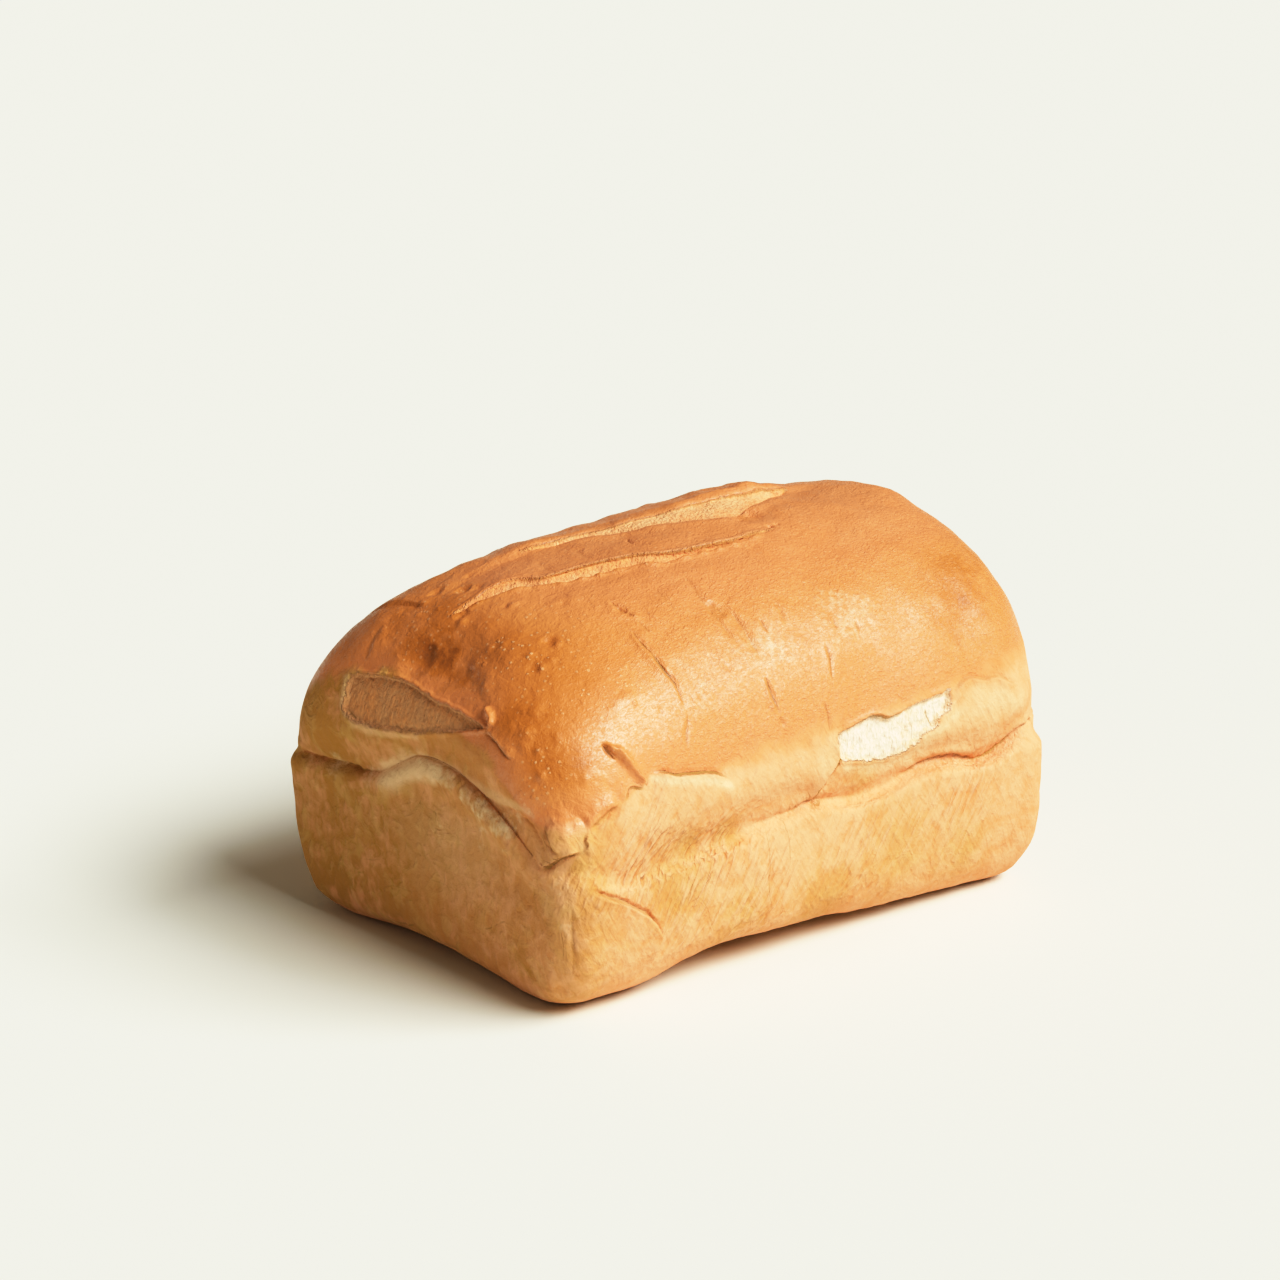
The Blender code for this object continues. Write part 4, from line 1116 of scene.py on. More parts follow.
def soft_forms(loaf):
    """Broad swells and hollows, such as the ear over the corner and the lump below it, and the dough's own
    unevenness."""
    for place, radius, height in SWELLS:
        away = np.linalg.norm((loaf.plain - np.array(place)) / np.array(radius), axis=1)
        chosen = np.where(away < 1.0)[0]
        loaf.push(chosen, height * (1.0 - smooth(away[chosen])))
    everywhere = np.arange(len(loaf.plain))
    height = loaf.plain[:, 2]
    free = smooth(height / FREE_ABOVE)
    top = ramp(height, *CROWN_LUMPS_BLEND)
    walls = free * ramp(loaf.above_fold, *WALL_LUMPS_BLEND)
    for share, lump_height, texture in ((free, DOUGH_LUMPS_HEIGHT, DOUGH_LUMPS),
                                        (top, CROWN_LUMPS_HEIGHT, CROWN_LUMPS),
                                        (walls, WALL_LUMPS_HEIGHT, WALL_LUMPS)):
        loaf.push(everywhere, share * lump_height * loaf.uneven(everywhere, texture))


def refine_near_features(bm, tree):
    """Gives the mesh finer cells where the crust is torn, folded or creased."""
    folds = [laid for laid, _, _ in fold_lines(tree)]
    creases = [softened(seen(tree, row[0]), 1) for row in CREASES_SEEN + LEDGES_SEEN]
    creases += [softened(seen(tree, path), 1) for path in (FLAP_GROOVE_SEEN, FLAP_FOLD_SEEN, CURL_SEEN)]
    spots = [seen(tree, (spot,)) for spot, _, _ in DIMPLES_SEEN]
    edges = (NEAR_FRONT, NEAR_BACK, FAR_FRONT, FAR_BACK)
    cuts = [carried(tree, spread_path(path), "top") for path in edges]
    patches = [seen(tree, filled(outline)) for outline in (NEAR_PATCH_SEEN, LEFT_PATCH_SEEN, SHREDS_SEEN)]
    hidden = [carried(tree, filled(FAR_PATCH), "far"), carried(tree, filled(RIGHT_PATCH), "right")]
    wide = folds + creases + spots + cuts + patches + hidden
    refine(bm, np.vstack([close_set(path) for path in wide]), REFINE_REACH)
    fine = folds[:2] + creases + cuts + patches
    refine(bm, np.vstack([close_set(path) for path in fine]), REFINE_REACH_FINE)


def spread_path(path, step=0.002):
    """Points at even steps along a plan path that runs along X."""
    x = np.arange(path[0][0], path[-1][0], step)
    return np.stack([x, along(x, path, 0.001)], 1)


def filled(outline, layers=(1.0, 0.8, 0.6, 0.4, 0.2, 0.0)):
    """Points of an outline and of the same outline drawn in towards its middle."""
    corners = np.array(outline + outline[:1])
    middle = corners.mean(0)
    return np.vstack([middle + (corners - middle) * layer for layer in layers])


def close_set(path, step=0.0015, longest=12):
    """Points of a path with none further apart than a step. A jump of more than the longest number of
    steps is left as it is."""
    out = [path[:1]]
    for start, end in zip(path[:-1], path[1:]):
        count = max(int(np.ceil(np.linalg.norm(end - start) / step)), 1)
        if count > longest:
            count = 1
        out.append(start + (end - start) * (np.arange(1, count + 1) / count)[:, None])
    return np.vstack(out)


# ---------------------------------------------------------------- colour marks

# Where the browned crust begins over the fold on each side: (place, height), and how soft its edge is
BROWN_NEAR = ((-0.104, 0.064), (-0.095, 0.066), (-0.085, 0.068), (-0.078, 0.0695), (-0.071, 0.0738),
              (-0.060, 0.0740), (-0.050, 0.0722), (-0.040, 0.0704), (-0.020, 0.0715), (0.0, 0.0725),
              (0.020, 0.0740), (0.030, 0.0735), (0.045, 0.0765), (0.055, 0.0765), (0.065, 0.0785),
              (0.075, 0.0775), (0.090, 0.080), (0.104, 0.080))
SOFT_NEAR = ((-0.104, 0.0030), (-0.080, 0.0016), (-0.070, 0.0009), (-0.042, 0.0014), (-0.030, 0.0050),
             (0.0, 0.0075), (0.012, 0.0040), (0.050, 0.0040), (0.060, 0.0060), (0.104, 0.0090))
BROWN_LEFT = ((-0.074, 0.060), (-0.066, 0.059), (-0.060, 0.0600), (-0.054, 0.063), (-0.048, 0.069),
              (-0.040, 0.077), (-0.030, 0.082), (-0.010, 0.087), (0.010, 0.0885), (0.030, 0.0880),
              (0.042, 0.083), (0.055, 0.074), (0.066, 0.070), (0.074, 0.070))
SOFT_LEFT = ((-0.074, 0.0040), (-0.050, 0.0050), (-0.030, 0.0040), (0.030, 0.0035), (0.045, 0.0090),
             (0.074, 0.0090))
BROWN_FAR = ((-0.104, 0.074), (-0.060, 0.073), (-0.030, 0.0745), (0.0, 0.072), (0.040, 0.0755),
             (0.104, 0.079))
BROWN_RIGHT = ((-0.074, 0.080), (-0.030, 0.082), (0.0, 0.086), (0.030, 0.082), (0.074, 0.078))
SOFT_HIDDEN = 0.0055

# Patches of colour by their mark: (picture place, radius, amount)
STAINS_SEEN = {
    # Toasted patches; the two on the crown's near-left flank, at (500, 730) and (535, 785), are painted shade
    "toast_and_shade": (
        ((412, 662), 0.016, 0.55), ((452, 672), 0.016, 0.3), ((380, 640), 0.02, 0.35),
        ((340, 660), 0.016, 0.5), ((440, 610), 0.018, 0.25), ((468, 588), 0.01, 0.35),
        ((500, 730), 0.02, 0.34), ((535, 785), 0.024, 0.34), ((580, 762), 0.01, 0.3),
        ((748, 515), 0.006, 0.4), ((430, 745), 0.018, 0.2), ((330, 725), 0.014, 0.25),
        ((720, 612), 0.006, 0.25), ((487, 734), 0.002, 0.9),
    ),
    # Tan on the walls, on the left end partly painted shade
    "tan_and_shade": (
        ((330, 860), 0.026, 1.0), ((310, 790), 0.022, 0.9), ((380, 900), 0.02, 0.7),
        ((440, 930), 0.018, 0.6), ((520, 960), 0.022, 0.8), ((540, 985), 0.014, 0.6),
        ((505, 820), 0.012, 0.5), ((360, 790), 0.018, 0.6), ((620, 940), 0.012, 0.2),
        ((680, 850), 0.02, 0.2), ((680, 885), 0.026, 0.45), ((690, 845), 0.012, 0.5),
        ((730, 832), 0.01, 0.5), ((865, 778), 0.012, 0.35), ((900, 850), 0.03, 0.4),
        ((960, 850), 0.02, 0.45), ((820, 900), 0.026, 0.45), ((740, 920), 0.022, 0.45),
    ),
    "weave": (
        ((650, 862), 0.03, 1.0), ((600, 885), 0.018, 0.5), ((715, 855), 0.022, 1.0),
        ((760, 890), 0.034, 0.7), ((860, 850), 0.034, 0.6), ((960, 800), 0.03, 0.6),
        ((900, 830), 0.02, 0.5), ((690, 900), 0.03, 0.8),
    ),
    "stria": (
        ((680, 760), 0.026, 0.7), ((760, 740), 0.03, 0.9), ((840, 720), 0.028, 0.8),
        ((900, 690), 0.024, 0.5), ((620, 830), 0.016, 0.6), ((740, 810), 0.022, 0.7),
    ),
    # Pale speckles, partly pale blistered skin and partly painted glints
    "speckle": (
        ((520, 650), 0.036, 1.0), ((600, 690), 0.03, 0.9), ((440, 610), 0.028, 0.8),
        ((640, 740), 0.022, 0.8), ((700, 640), 0.03, 0.5), ((540, 770), 0.022, 0.8),
        ((400, 650), 0.026, 0.6), ((760, 560), 0.026, 0.35), ((640, 560), 0.026, 0.5),
    ),
    # Pale smears: the broad ones on the crown's near flank are painted highlight, and those under the left
    # fold are painted light over its shade
    "smear_and_painted_light": (
        ((562, 890), 0.008, 0.3), ((564, 930), 0.008, 0.25), ((800, 765), 0.012, 0.25),
        ((825, 750), 0.006, 0.3), ((410, 800), 0.01, 0.25), ((760, 650), 0.03, 0.3),
        ((840, 610), 0.03, 0.34), ((700, 690), 0.024, 0.22), ((630, 846), 0.014, 0.3),
        ((690, 832), 0.012, 0.28), ((340, 764), 0.01, 0.42), ((372, 774), 0.008, 0.45),
        ((315, 756), 0.008, 0.34), ((440, 838), 0.012, 0.3), ((480, 850), 0.012, 0.3),
        ((400, 850), 0.01, 0.2),
    ),
    "fray": (
        ((996, 762), 0.005, 0.5), ((980, 765), 0.005, 0.5), ((1010, 756), 0.005, 0.4),
    ),
}

# Areas of colour by their mark: (picture outline, how soft its edge is, amount)
AREAS_SEEN = {
    # Cream areas; the two over the corner's ear are painted light on its lit facet
    "cream_and_painted_light": (
        (((550, 817), (562, 820), (577, 819), (586, 828), (590, 833), (582, 840), (574, 844), (570, 852),
          (561, 852), (554, 841), (549, 830), (546, 822)), 0.005, 0.16),
        (((574, 822), (580, 821), (588, 830), (583, 838), (590, 848), (583, 851), (576, 846), (574, 834)),
         0.004, 0.22),
        (((383, 762), (392, 757), (404, 752), (417, 750), (430, 757), (446, 765), (452, 774), (440, 781),
          (424, 779), (408, 784), (394, 790), (382, 784), (378, 775)), 0.004, 0.85),
        (((420, 746), (440, 754), (460, 763), (482, 779), (506, 797), (530, 811), (533, 817), (505, 804),
          (481, 787), (459, 771), (439, 762), (420, 753)), 0.0012, 0.4),
        (((344, 676), (350, 674), (349, 690), (349, 704), (353, 716), (347, 718), (342, 706)), 0.001,
         0.4),
        (((353, 719), (371, 726), (394, 731), (420, 733), (420, 738), (392, 737), (368, 733), (352, 726)),
         0.0012, 0.35),
        (((547, 868), (566, 862), (573, 900), (572, 940), (570, 975), (556, 975), (550, 930), (545, 895)),
         0.004, 0.12),
        (((824, 738), (836, 731), (838, 745), (839, 757), (830, 770), (818, 776), (815, 760)), 0.004,
         0.25),
        (((839, 752), (842, 762), (862, 764), (886, 762), (908, 752), (926, 736), (940, 722), (954, 706),
          (958, 712), (944, 730), (928, 746), (910, 762), (884, 770), (858, 772), (842, 768)), 0.006,
         0.55),
        (((960, 688), (975, 683), (1000, 684), (1020, 694), (1022, 712), (990, 722), (960, 722)), 0.004,
         0.3),
        (((650, 775), (669, 777), (700, 776), (728, 781), (734, 788), (700, 784), (669, 785), (652, 783)),
         0.0016, 0.45),
        (((400, 812), (440, 800), (490, 830), (500, 870), (470, 900), (420, 880), (400, 850)), 0.012,
         0.16),
    ),
    # Toasted areas; the second, on the crown's near-left flank, is painted shade
    "toast_and_shade": (
        (((392, 638), (424, 626), (446, 642), (462, 668), (468, 688), (440, 688), (412, 678), (396, 662)),
         0.012, 0.7),
        (((505, 775), (530, 770), (548, 790), (545, 806), (520, 806), (503, 795)), 0.012, 0.34),
        (((940, 560), (975, 570), (1005, 640), (1000, 668), (965, 655), (935, 620), (925, 580)), 0.02,
         0.45),
    ),
    # Painted light over the shade under the left fold and over its shreds
    "smear_and_painted_light": (
        (((462, 780), (492, 803), (516, 816), (524, 832), (514, 846), (500, 840), (484, 822), (466, 800)),
         0.008, 0.5),
        (((420, 752), (440, 759), (462, 770), (470, 790), (455, 792), (436, 776), (420, 764)), 0.004,
         0.35),
    ),
    "tan_and_shade": (
        (((300, 748), (330, 760), (372, 772), (386, 780), (360, 784), (322, 770), (300, 762)), 0.003,
         0.3),
    ),
}

# Browning: over the line where it begins, higher up, on the left dome, and less on the crest
BROWN_BASE = 0.45
BROWN_HIGHER = 0.22
BROWN_DOME = 0.12
BROWN_CREST = -0.24
BROWN_RISE = 0.022
DOME_BLEND = (-0.050, -0.090)
CREST_BLEND = (0.108, 0.118)
BROWN_FLOOR = FOLD_HEIGHT - 0.010
# How far the line wanders: by a share of its softness and a little more, up to a limit
BROWN_WANDER_SHARE = 0.7
BROWN_WANDER_LEAST = 0.0008
BROWN_WANDER_MOST = 0.0035
# Points inside the crown belong to no side, and are browned as if they were this far over the line
INNER_SHARE = 0.05
INNER_ABOVE = 0.03
INNER_SOFT = 0.004
# The left wall's tan, partly real browning and partly painted shade, deeper away from the light
TAN_AND_SHADE_WALL = 0.50
TAN_PAINTED_SHADE = 0.36
PAINTED_SHADE_BLEND = (-0.045, 0.045)
TAN_BLEND = (0.002, 0.006)
SPECKLES_AND_GLINTS_ALL_OVER = 0.25
# How uneven the patches and areas are: how far a patch can reach, and the size of its lumps, in radii
STAIN_REACH = 1.35
STAIN_LUMPS = 0.4
STAIN_UNEVENNESS = 0.25
AREA_UNEVENNESS = 0.4


def browning(loaf):
    """How far the crust is browned: pale against the tin, golden over the fold, brown on the crown."""
    near, left, far, right = side_weights(loaf.plain)
    x, y, z = loaf.plain.T
    total = near + left + far + right
    inner = total < INNER_SHARE
    total = np.maximum(total, INNER_SHARE)
    line = (near * along(x, BROWN_NEAR) + far * along(x, BROWN_FAR)
            + left * along(y, BROWN_LEFT) + right * along(y, BROWN_RIGHT)) / total
    soft = (near * along(x, SOFT_NEAR) + left * along(y, SOFT_LEFT) + (far + right) * SOFT_HIDDEN) / total
    wander = np.minimum(soft * BROWN_WANDER_SHARE + BROWN_WANDER_LEAST, BROWN_WANDER_MOST)
    line += loaf.uneven(slice(None), BROWN_WANDER) * wander
    above = np.where(inner, INNER_ABOVE, z - line)
    soft = np.where(inner, INNER_SOFT, soft)
    height = smooth(above / BROWN_RISE)
    dome = ramp(x, *DOME_BLEND) * height
    amount = BROWN_BASE + BROWN_HIGHER * height + BROWN_DOME * dome + BROWN_CREST * ramp(z, *CREST_BLEND)
    browned = smooth(0.5 + above / (2.0 * soft)) * amount
    loaf.marks["bake"] = np.where(z > BROWN_FLOOR, browned, 0.0)
    # The left wall's tan, partly painted shade
    tan_and_shade = TAN_AND_SHADE_WALL + TAN_PAINTED_SHADE * ramp(y, *PAINTED_SHADE_BLEND)
    loaf.mark("tan_and_shade", slice(None), left * ramp(z, *TAN_BLEND) * tan_and_shade)
    # Pale speckles over the crown, partly painted glints
    loaf.mark("speckle", slice(None), SPECKLES_AND_GLINTS_ALL_OVER * height)


def stain(loaf, tree):
    """Patches where the crust is darker, paler, speckled or stretched; some of them are painted shade,
    painted highlight or painted light.
    """
    for name, spots in STAINS_SEEN.items():
        for spot, radius, amount in spots:
            away = np.linalg.norm(loaf.plain - seen(tree, (spot,))[0], axis=1) / radius
            chosen = np.where(away < STAIN_REACH)[0]
            lumps = loaf.uneven(chosen, (STAIN_LUMPS * radius, STAIN_SEED, 3))
            uneven = away[chosen] * (1.0 + STAIN_UNEVENNESS * lumps)
            loaf.mark(name, chosen, amount * (1.0 - smooth(uneven)))
    for name, areas in AREAS_SEEN.items():
        for outline, soft, amount in areas:
            chosen, depth_in = loaf.within(outline)
            wobbled = depth_in + AREA_UNEVENNESS * soft * loaf.uneven(chosen, AREA_WANDER)
            loaf.mark(name, chosen, amount * smooth(0.5 + wobbled / soft))


# ---------------------------------------------------------------- materials

# Colours are linear. Crust from pale to dark, by how far it is browned
CRUST_STEPS = ((0.0, (0.83, 0.44, 0.230, 1)), (0.20, (0.81, 0.37, 0.165, 1)), (0.45, (0.78, 0.300, 0.106, 1)),
               (0.70, (0.74, 0.286, 0.082, 1)), (0.86, (0.60, 0.208, 0.032, 1)),
               (1.0, (0.29, 0.084, 0.005, 1)))
WALL_MOTTLE = (0.76, 0.29, 0.095, 1)
# Tan of the walls, on the left end partly painted shade
WALL_TAN_AND_SHADE = (0.53, 0.266, 0.050, 1)
WALL_VEIN = (0.80, 0.55, 0.22, 1)
# Crumb, by how white it is
CRUMB_STEPS = ((0.0, (0.74, 0.40, 0.185, 1)), (0.25, (0.84, 0.37, 0.125, 1)), (0.50, (0.94, 0.41, 0.170, 1)),
               (0.75, (0.92, 0.55, 0.28, 1)), (1.0, (0.97, 0.755, 0.56, 1)))
# Pale smear colour, also laid on as painted highlight and painted light
SMEAR_AND_PAINTED_LIGHT = (0.92, 0.72, 0.48, 1)
# Cream colour, also laid on as painted light on the corner's ear
CREAM_AND_PAINTED_LIGHT = (0.93, 0.66, 0.41, 1)
# Painted shade in cracks and creases, and a painted highlight on the rim beside them
CRACK_SHADE_TINT = (0.50, 0.42, 0.20, 1)
CRACK_SHADE_BROWN = (0.41, 0.240, 0.052, 1)
CRACK_RIM_HIGHLIGHT = (0.90, 0.56, 0.30, 1)
# Pale speckle colour, partly painted glint
SPECKLE_PALE_AND_GLINT = (0.95, 0.60, 0.34, 1)

# Even patterns: (lumps in one metre, detail, distortion)
BROAD = (26.0, 2.0)
PATCHY = (95.0, 4.0, 0.4)
FINE = (520.0, 4.0)
GRAIN = (1500.0, 2.0)
LUMPS = (260.0, 3.0, 0.6)
BLOTCHES = (52.0, 6.0, 1.4)
FLECKS = (330.0, 3.0, 0.5)
VEINS = (100.0, 5.0, 1.4)
PITS = (620.0, 3.0, 0.6)
# Streaky patterns: (turn of their axes, length of a lump along each, detail, distortion)
STRAIGHT = (0.0, 0.0, 0.0)
FLOW = ((0.0, math.radians(-30), 0.0), (0.0022, 0.0022, 0.011), 2.0, 0.3)
WOVEN = ((0.0, math.radians(30), 0.0), (0.0016, 0.0016, 0.0120), 1.5, 0.5)
RIBS = ((0.0, math.radians(12), 0.0), (0.0009, 0.0009, 0.0070), 2.0, 0.3)
STRETCHED = ((0.0, math.radians(38), 0.0), (0.0026, 0.0026, 0.018), 1.5, 0.2)
CRINKLES = ((0.0, 0.0, 0.25), (0.0015, 0.0009, 0.0009), 2.5, 1.1)
STRANDS = (STRAIGHT, (0.0011, 0.0011, 0.0038), 3.0, 0.5)
HOLES = (STRAIGHT, (0.0008, 0.0008, 0.0018), 3.0)
# Round grains: (size of a cell, share of the cells that hold one, smallest and largest radius)
SPECKLES = (0.0018, 0.45, 0.00042, 0.00072)
BUBBLES = (0.0060, 0.30, 0.0006, 0.0013)
NET = (0.013, 0.0011)  # size of a mesh and width of its lines

GLAZED = (0.20, 0.50)  # browning over which the crust turns from dry to glazed
CRUST_UNEVEN = (0.26, 0.15, 0.07, 0.08)  # how much the broad, patchy, fine and grain patterns brown it
DRY_UNEVEN = 0.25
TOASTING_AND_SHADE = 0.44
TIN_LOW = (0.046, 0.002)
SMOOTH_END = (-0.085, -0.035, 0.30, 1.0)  # the left end is less crinkled
GLAZE_ROUGHNESS = 0.38
DRY_ROUGHNESS = 0.80
GLOSS_ROUGHNESS = 0.32

# Relief finer than the mesh, in metres
CRINKLE_RELIEF = 0.00042
DRY_CRINKLE_RELIEF = 0.00008
LUMP_RELIEF = 0.00060
FLOW_RELIEF = 0.00050
WEAVE_RELIEF = 0.00220
STRIA_RELIEF = 0.00120
GRAIN_RELIEF = 0.00010
BUBBLE_RELIEF = 0.00035
SPECKLE_RELIEF = 0.00014
HOLE_RELIEF = 0.00035
RIB_RELIEF = 0.00065
STRAND_RELIEF = 0.00090
CRACK_RELIEF = -0.00030
NET_RELIEF = -0.00008
VEIN_RELIEF = 0.00036


class Nodes:
    """Adds nodes to a material, wired as they are made."""

    def __init__(self, tree):
        """Starts with an empty place for the values that more than one part of the material reads."""
        self.tree = tree
        self.kept = SimpleNamespace()

    def add(self, kind, inputs=None, **settings):
        """A node with its settings, whose inputs are values or the outputs of other nodes."""
        node = self.tree.nodes.new(kind)
        for name, value in settings.items():
            setattr(node, name, value)
        for name, value in (inputs or {}).items():
            socket = node.inputs[name]
            if isinstance(value, bpy.types.NodeSocket):
                self.tree.links.new(value, socket)
            else:
                socket.default_value = value
        return node

    def math(self, operation, a, b=0.0, c=0.0, clamp=False):
        """One sum."""
        return self.add("ShaderNodeMath", {0: a, 1: b, 2: c}, operation=operation, use_clamp=clamp).outputs[0]

    def plus(self, *values):
        """The values added up."""
        total = values[0]
        for value in values[1:]:
            total = self.math('ADD', total, value)
        return total

    def times(self, *values):
        """The values multiplied."""
        total = values[0]
        for value in values[1:]:
            total = self.math('MULTIPLY', total, value)
        return total

    def clamped(self, value):
        """A value held between 0 and 1."""
        return self.math('ADD', value, 0.0, clamp=True)

    def blend(self, share, low, high):
        """A number that goes from low to high as the share goes from 0 to 1."""
        return self.math('MULTIPLY_ADD', share, high - low, low)

    def centred(self, value, amount):
        """A value around 0.5 turned into one around 0, of the given amount."""
        return self.math('MULTIPLY_ADD', value, amount, -0.5 * amount)

    def fit(self, value, low, high, new_low=0.0, new_high=1.0):
        """A value carried smoothly from one range to another, level beyond both ends."""
        inputs = {"Value": value, "From Min": low, "From Max": high, "To Min": new_low, "To Max": new_high}
        return self.add("ShaderNodeMapRange", inputs, interpolation_type='SMOOTHSTEP').outputs[0]

    def mix(self, factor, a, b, blend='MIX'):
        """One colour laid over another."""
        node = self.add("ShaderNodeMix", {0: factor, 6: a, 7: b}, data_type='RGBA', blend_type=blend)
        return node.outputs[2]

    def noise(self, vector, scale, detail=3.0, distortion=0.0):
        """Even lumps, of which the scale says how many lie in a metre."""
        inputs = {"Vector": vector, "Scale": scale, "Detail": detail, "Distortion": distortion}
        return self.add("ShaderNodeTexNoise", inputs).outputs[0]

    def streaks(self, vector, turn, lengths, detail, distortion=0.0):
        """Lumps of the given length along each of the turned axes."""
        inputs = {"Vector": vector, "Rotation": turn, "Scale": lengths}
        turned = self.add("ShaderNodeMapping", inputs, vector_type='TEXTURE').outputs[0]
        return self.noise(turned, 1.0, detail, distortion)

    def grains(self, vector, size, share, small, large):
        """Small round grains, one in some of the cells of the given size: 1 on them and 0 between."""
        cells = self.add("ShaderNodeTexVoronoi", {"Vector": vector, "Scale": 1.0 / size})
        chance = self.add("ShaderNodeSeparateColor", {0: cells.outputs["Color"]}).outputs
        radius = self.fit(chance[1], 0.0, 1.0, small / size, large / size)
        away = self.math('DIVIDE', cells.outputs["Distance"], radius)
        return self.times(self.fit(away, 1.0, 0.45), self.math('LESS_THAN', chance[0], share))

    def net(self, vector, size, width):
        """A net of thin wandering lines, 1 on them and 0 between."""
        shifted = self.add("ShaderNodeTexNoise", {"Vector": vector, "Scale": 1.6 / size, "Detail": 4.0})
        moved = self.add("ShaderNodeVectorMath", {0: shifted.outputs["Color"], 1: (size, size, size)},
                         operation='MULTIPLY').outputs[0]
        place = self.add("ShaderNodeVectorMath", {0: vector, 1: moved}, operation='ADD').outputs[0]
        cells = self.add("ShaderNodeTexVoronoi", {"Vector": place, "Scale": 1.0 / size},
                         feature='DISTANCE_TO_EDGE')
        return self.fit(cells.outputs["Distance"], width / size, 0.0)

    def steps(self, value, stops):
        """A colour read off a ramp."""
        ramp_node = self.add("ShaderNodeValToRGB", {"Fac": value})
        elements = ramp_node.color_ramp.elements
        while len(elements) < len(stops):
            elements.new(0.5)
        for element, (place, colour) in zip(elements, stops):
            element.position = place
            element.color = colour
        return ramp_node.outputs[0]


def crust_patterns(n):
    """The marks kept at the loaf's points, and the patterns that more than one part of the crust reads."""
    k = n.kept
    k.spot = n.add("ShaderNodeTexCoord").outputs["Object"]
    k.place = n.add("ShaderNodeSeparateXYZ", {0: k.spot}).outputs
    k.mark = {name: n.add("ShaderNodeAttribute", attribute_name=name).outputs["Fac"] for name in MARKS}
    k.broad, k.patchy, k.fine, k.grain, k.lumpy, k.vein_noise = (
        n.noise(k.spot, *pattern) for pattern in (BROAD, PATCHY, FINE, GRAIN, LUMPS, VEINS))
    k.flow, k.woven, k.ribs, k.strands, k.crinkle = (
        n.streaks(k.spot, *pattern) for pattern in (FLOW, WOVEN, RIBS, STRANDS, CRINKLES))
    k.glazed = n.fit(k.mark["bake"], *GLAZED)
    k.dry = n.math('SUBTRACT', 1.0, k.glazed)
    k.netted = n.times(n.net(k.spot, *NET), n.fit(k.patchy, 0.42, 0.60), k.dry)
    k.veined = n.times(n.fit(k.vein_noise, 0.46, 0.70), k.mark["tan_and_shade"], k.dry)
    k.speckled = n.times(n.grains(k.spot, *SPECKLES), k.mark["speckle"])
    k.torn_edge = n.plus(k.mark["torn"], n.centred(k.fine, 0.0014), n.centred(k.grain, 0.0010))
    k.crumbed = n.fit(k.torn_edge, -0.00030, 0.00030)
    # The line of painted shade in cracks
    across = n.plus(n.math('ABSOLUTE', k.mark["crack"]), n.centred(k.fine, 1.6), n.centred(k.grain, 1.2))
    k.crack_line = n.times(n.fit(across, 1.25, 0.25), k.mark["crack_shade"])


def crust_colour(n):
    """Browned crust over pale walls that the tin has mottled, with veins, creamy smears and speckles; the
    tan, cream, smears and speckles also carry painted shade, painted light and painted glints.
    """
    k = n.kept
    uneven = n.plus(*(n.centred(value, amount) for value, amount
                      in zip((k.broad, k.patchy, k.fine, k.grain), CRUST_UNEVEN)))
    uneven = n.times(uneven, n.blend(k.glazed, DRY_UNEVEN, 1.0))
    # Toasting, partly painted shade on the crown's near-left flank
    browned = n.plus(k.mark["bake"], uneven, n.times(k.mark["toast_and_shade"], TOASTING_AND_SHADE))
    crust = n.steps(browned, CRUST_STEPS)

    blotch = n.fit(n.noise(k.spot, *BLOTCHES), 0.40, 0.68)
    flecks = n.fit(n.noise(k.spot, *FLECKS), 0.52, 0.70)
    ribbed = n.plus(n.centred(k.flow, -0.7), n.times(n.centred(k.woven, -3.2), k.mark["weave"]),
                    n.centred(k.lumpy, -0.8))
    mottled = n.plus(n.times(blotch, 0.40), n.times(flecks, 0.18),
                     n.times(n.fit(k.place[2], *TIN_LOW), 0.06), n.centred(k.grain, 0.5), ribbed)
    crust = n.mix(n.times(n.clamped(mottled), k.dry), crust, WALL_MOTTLE)

    # Tan, partly painted shade on the left end
    patches = n.fit(n.plus(k.broad, n.times(blotch, 0.5), ribbed), 0.1, 0.9, 0.25, 1.1)
    tanned_and_shaded = n.times(k.mark["tan_and_shade"], k.dry, patches)
    lines = n.times(k.netted, k.mark["tan_and_shade"], 0.3)
    crust = n.mix(n.math('ADD', tanned_and_shaded, lines, clamp=True), crust, WALL_TAN_AND_SHADE)
    crust = n.mix(n.times(k.veined, 0.36), crust, WALL_VEIN)
    # Cream, partly painted light on the corner's ear
    crust = n.mix(k.mark["cream_and_painted_light"], crust, CREAM_AND_PAINTED_LIGHT)

    # Pale smears, partly painted highlight on the crown's flank and painted light over the left fold's shade
    broken = n.plus(k.mark["smear_and_painted_light"], n.centred(k.fine, 0.7), n.centred(k.patchy, 0.5))
    smeared_and_lit = n.times(n.fit(broken, 0.2, 0.75), 0.75)
    crust = n.mix(n.times(smeared_and_lit, n.fit(k.mark["smear_and_painted_light"], 0.02, 0.2)), crust, SMEAR_AND_PAINTED_LIGHT)
    # Pale speckles, partly painted glints
    return n.mix(n.times(k.speckled, 0.55), crust, SPECKLE_PALE_AND_GLINT)


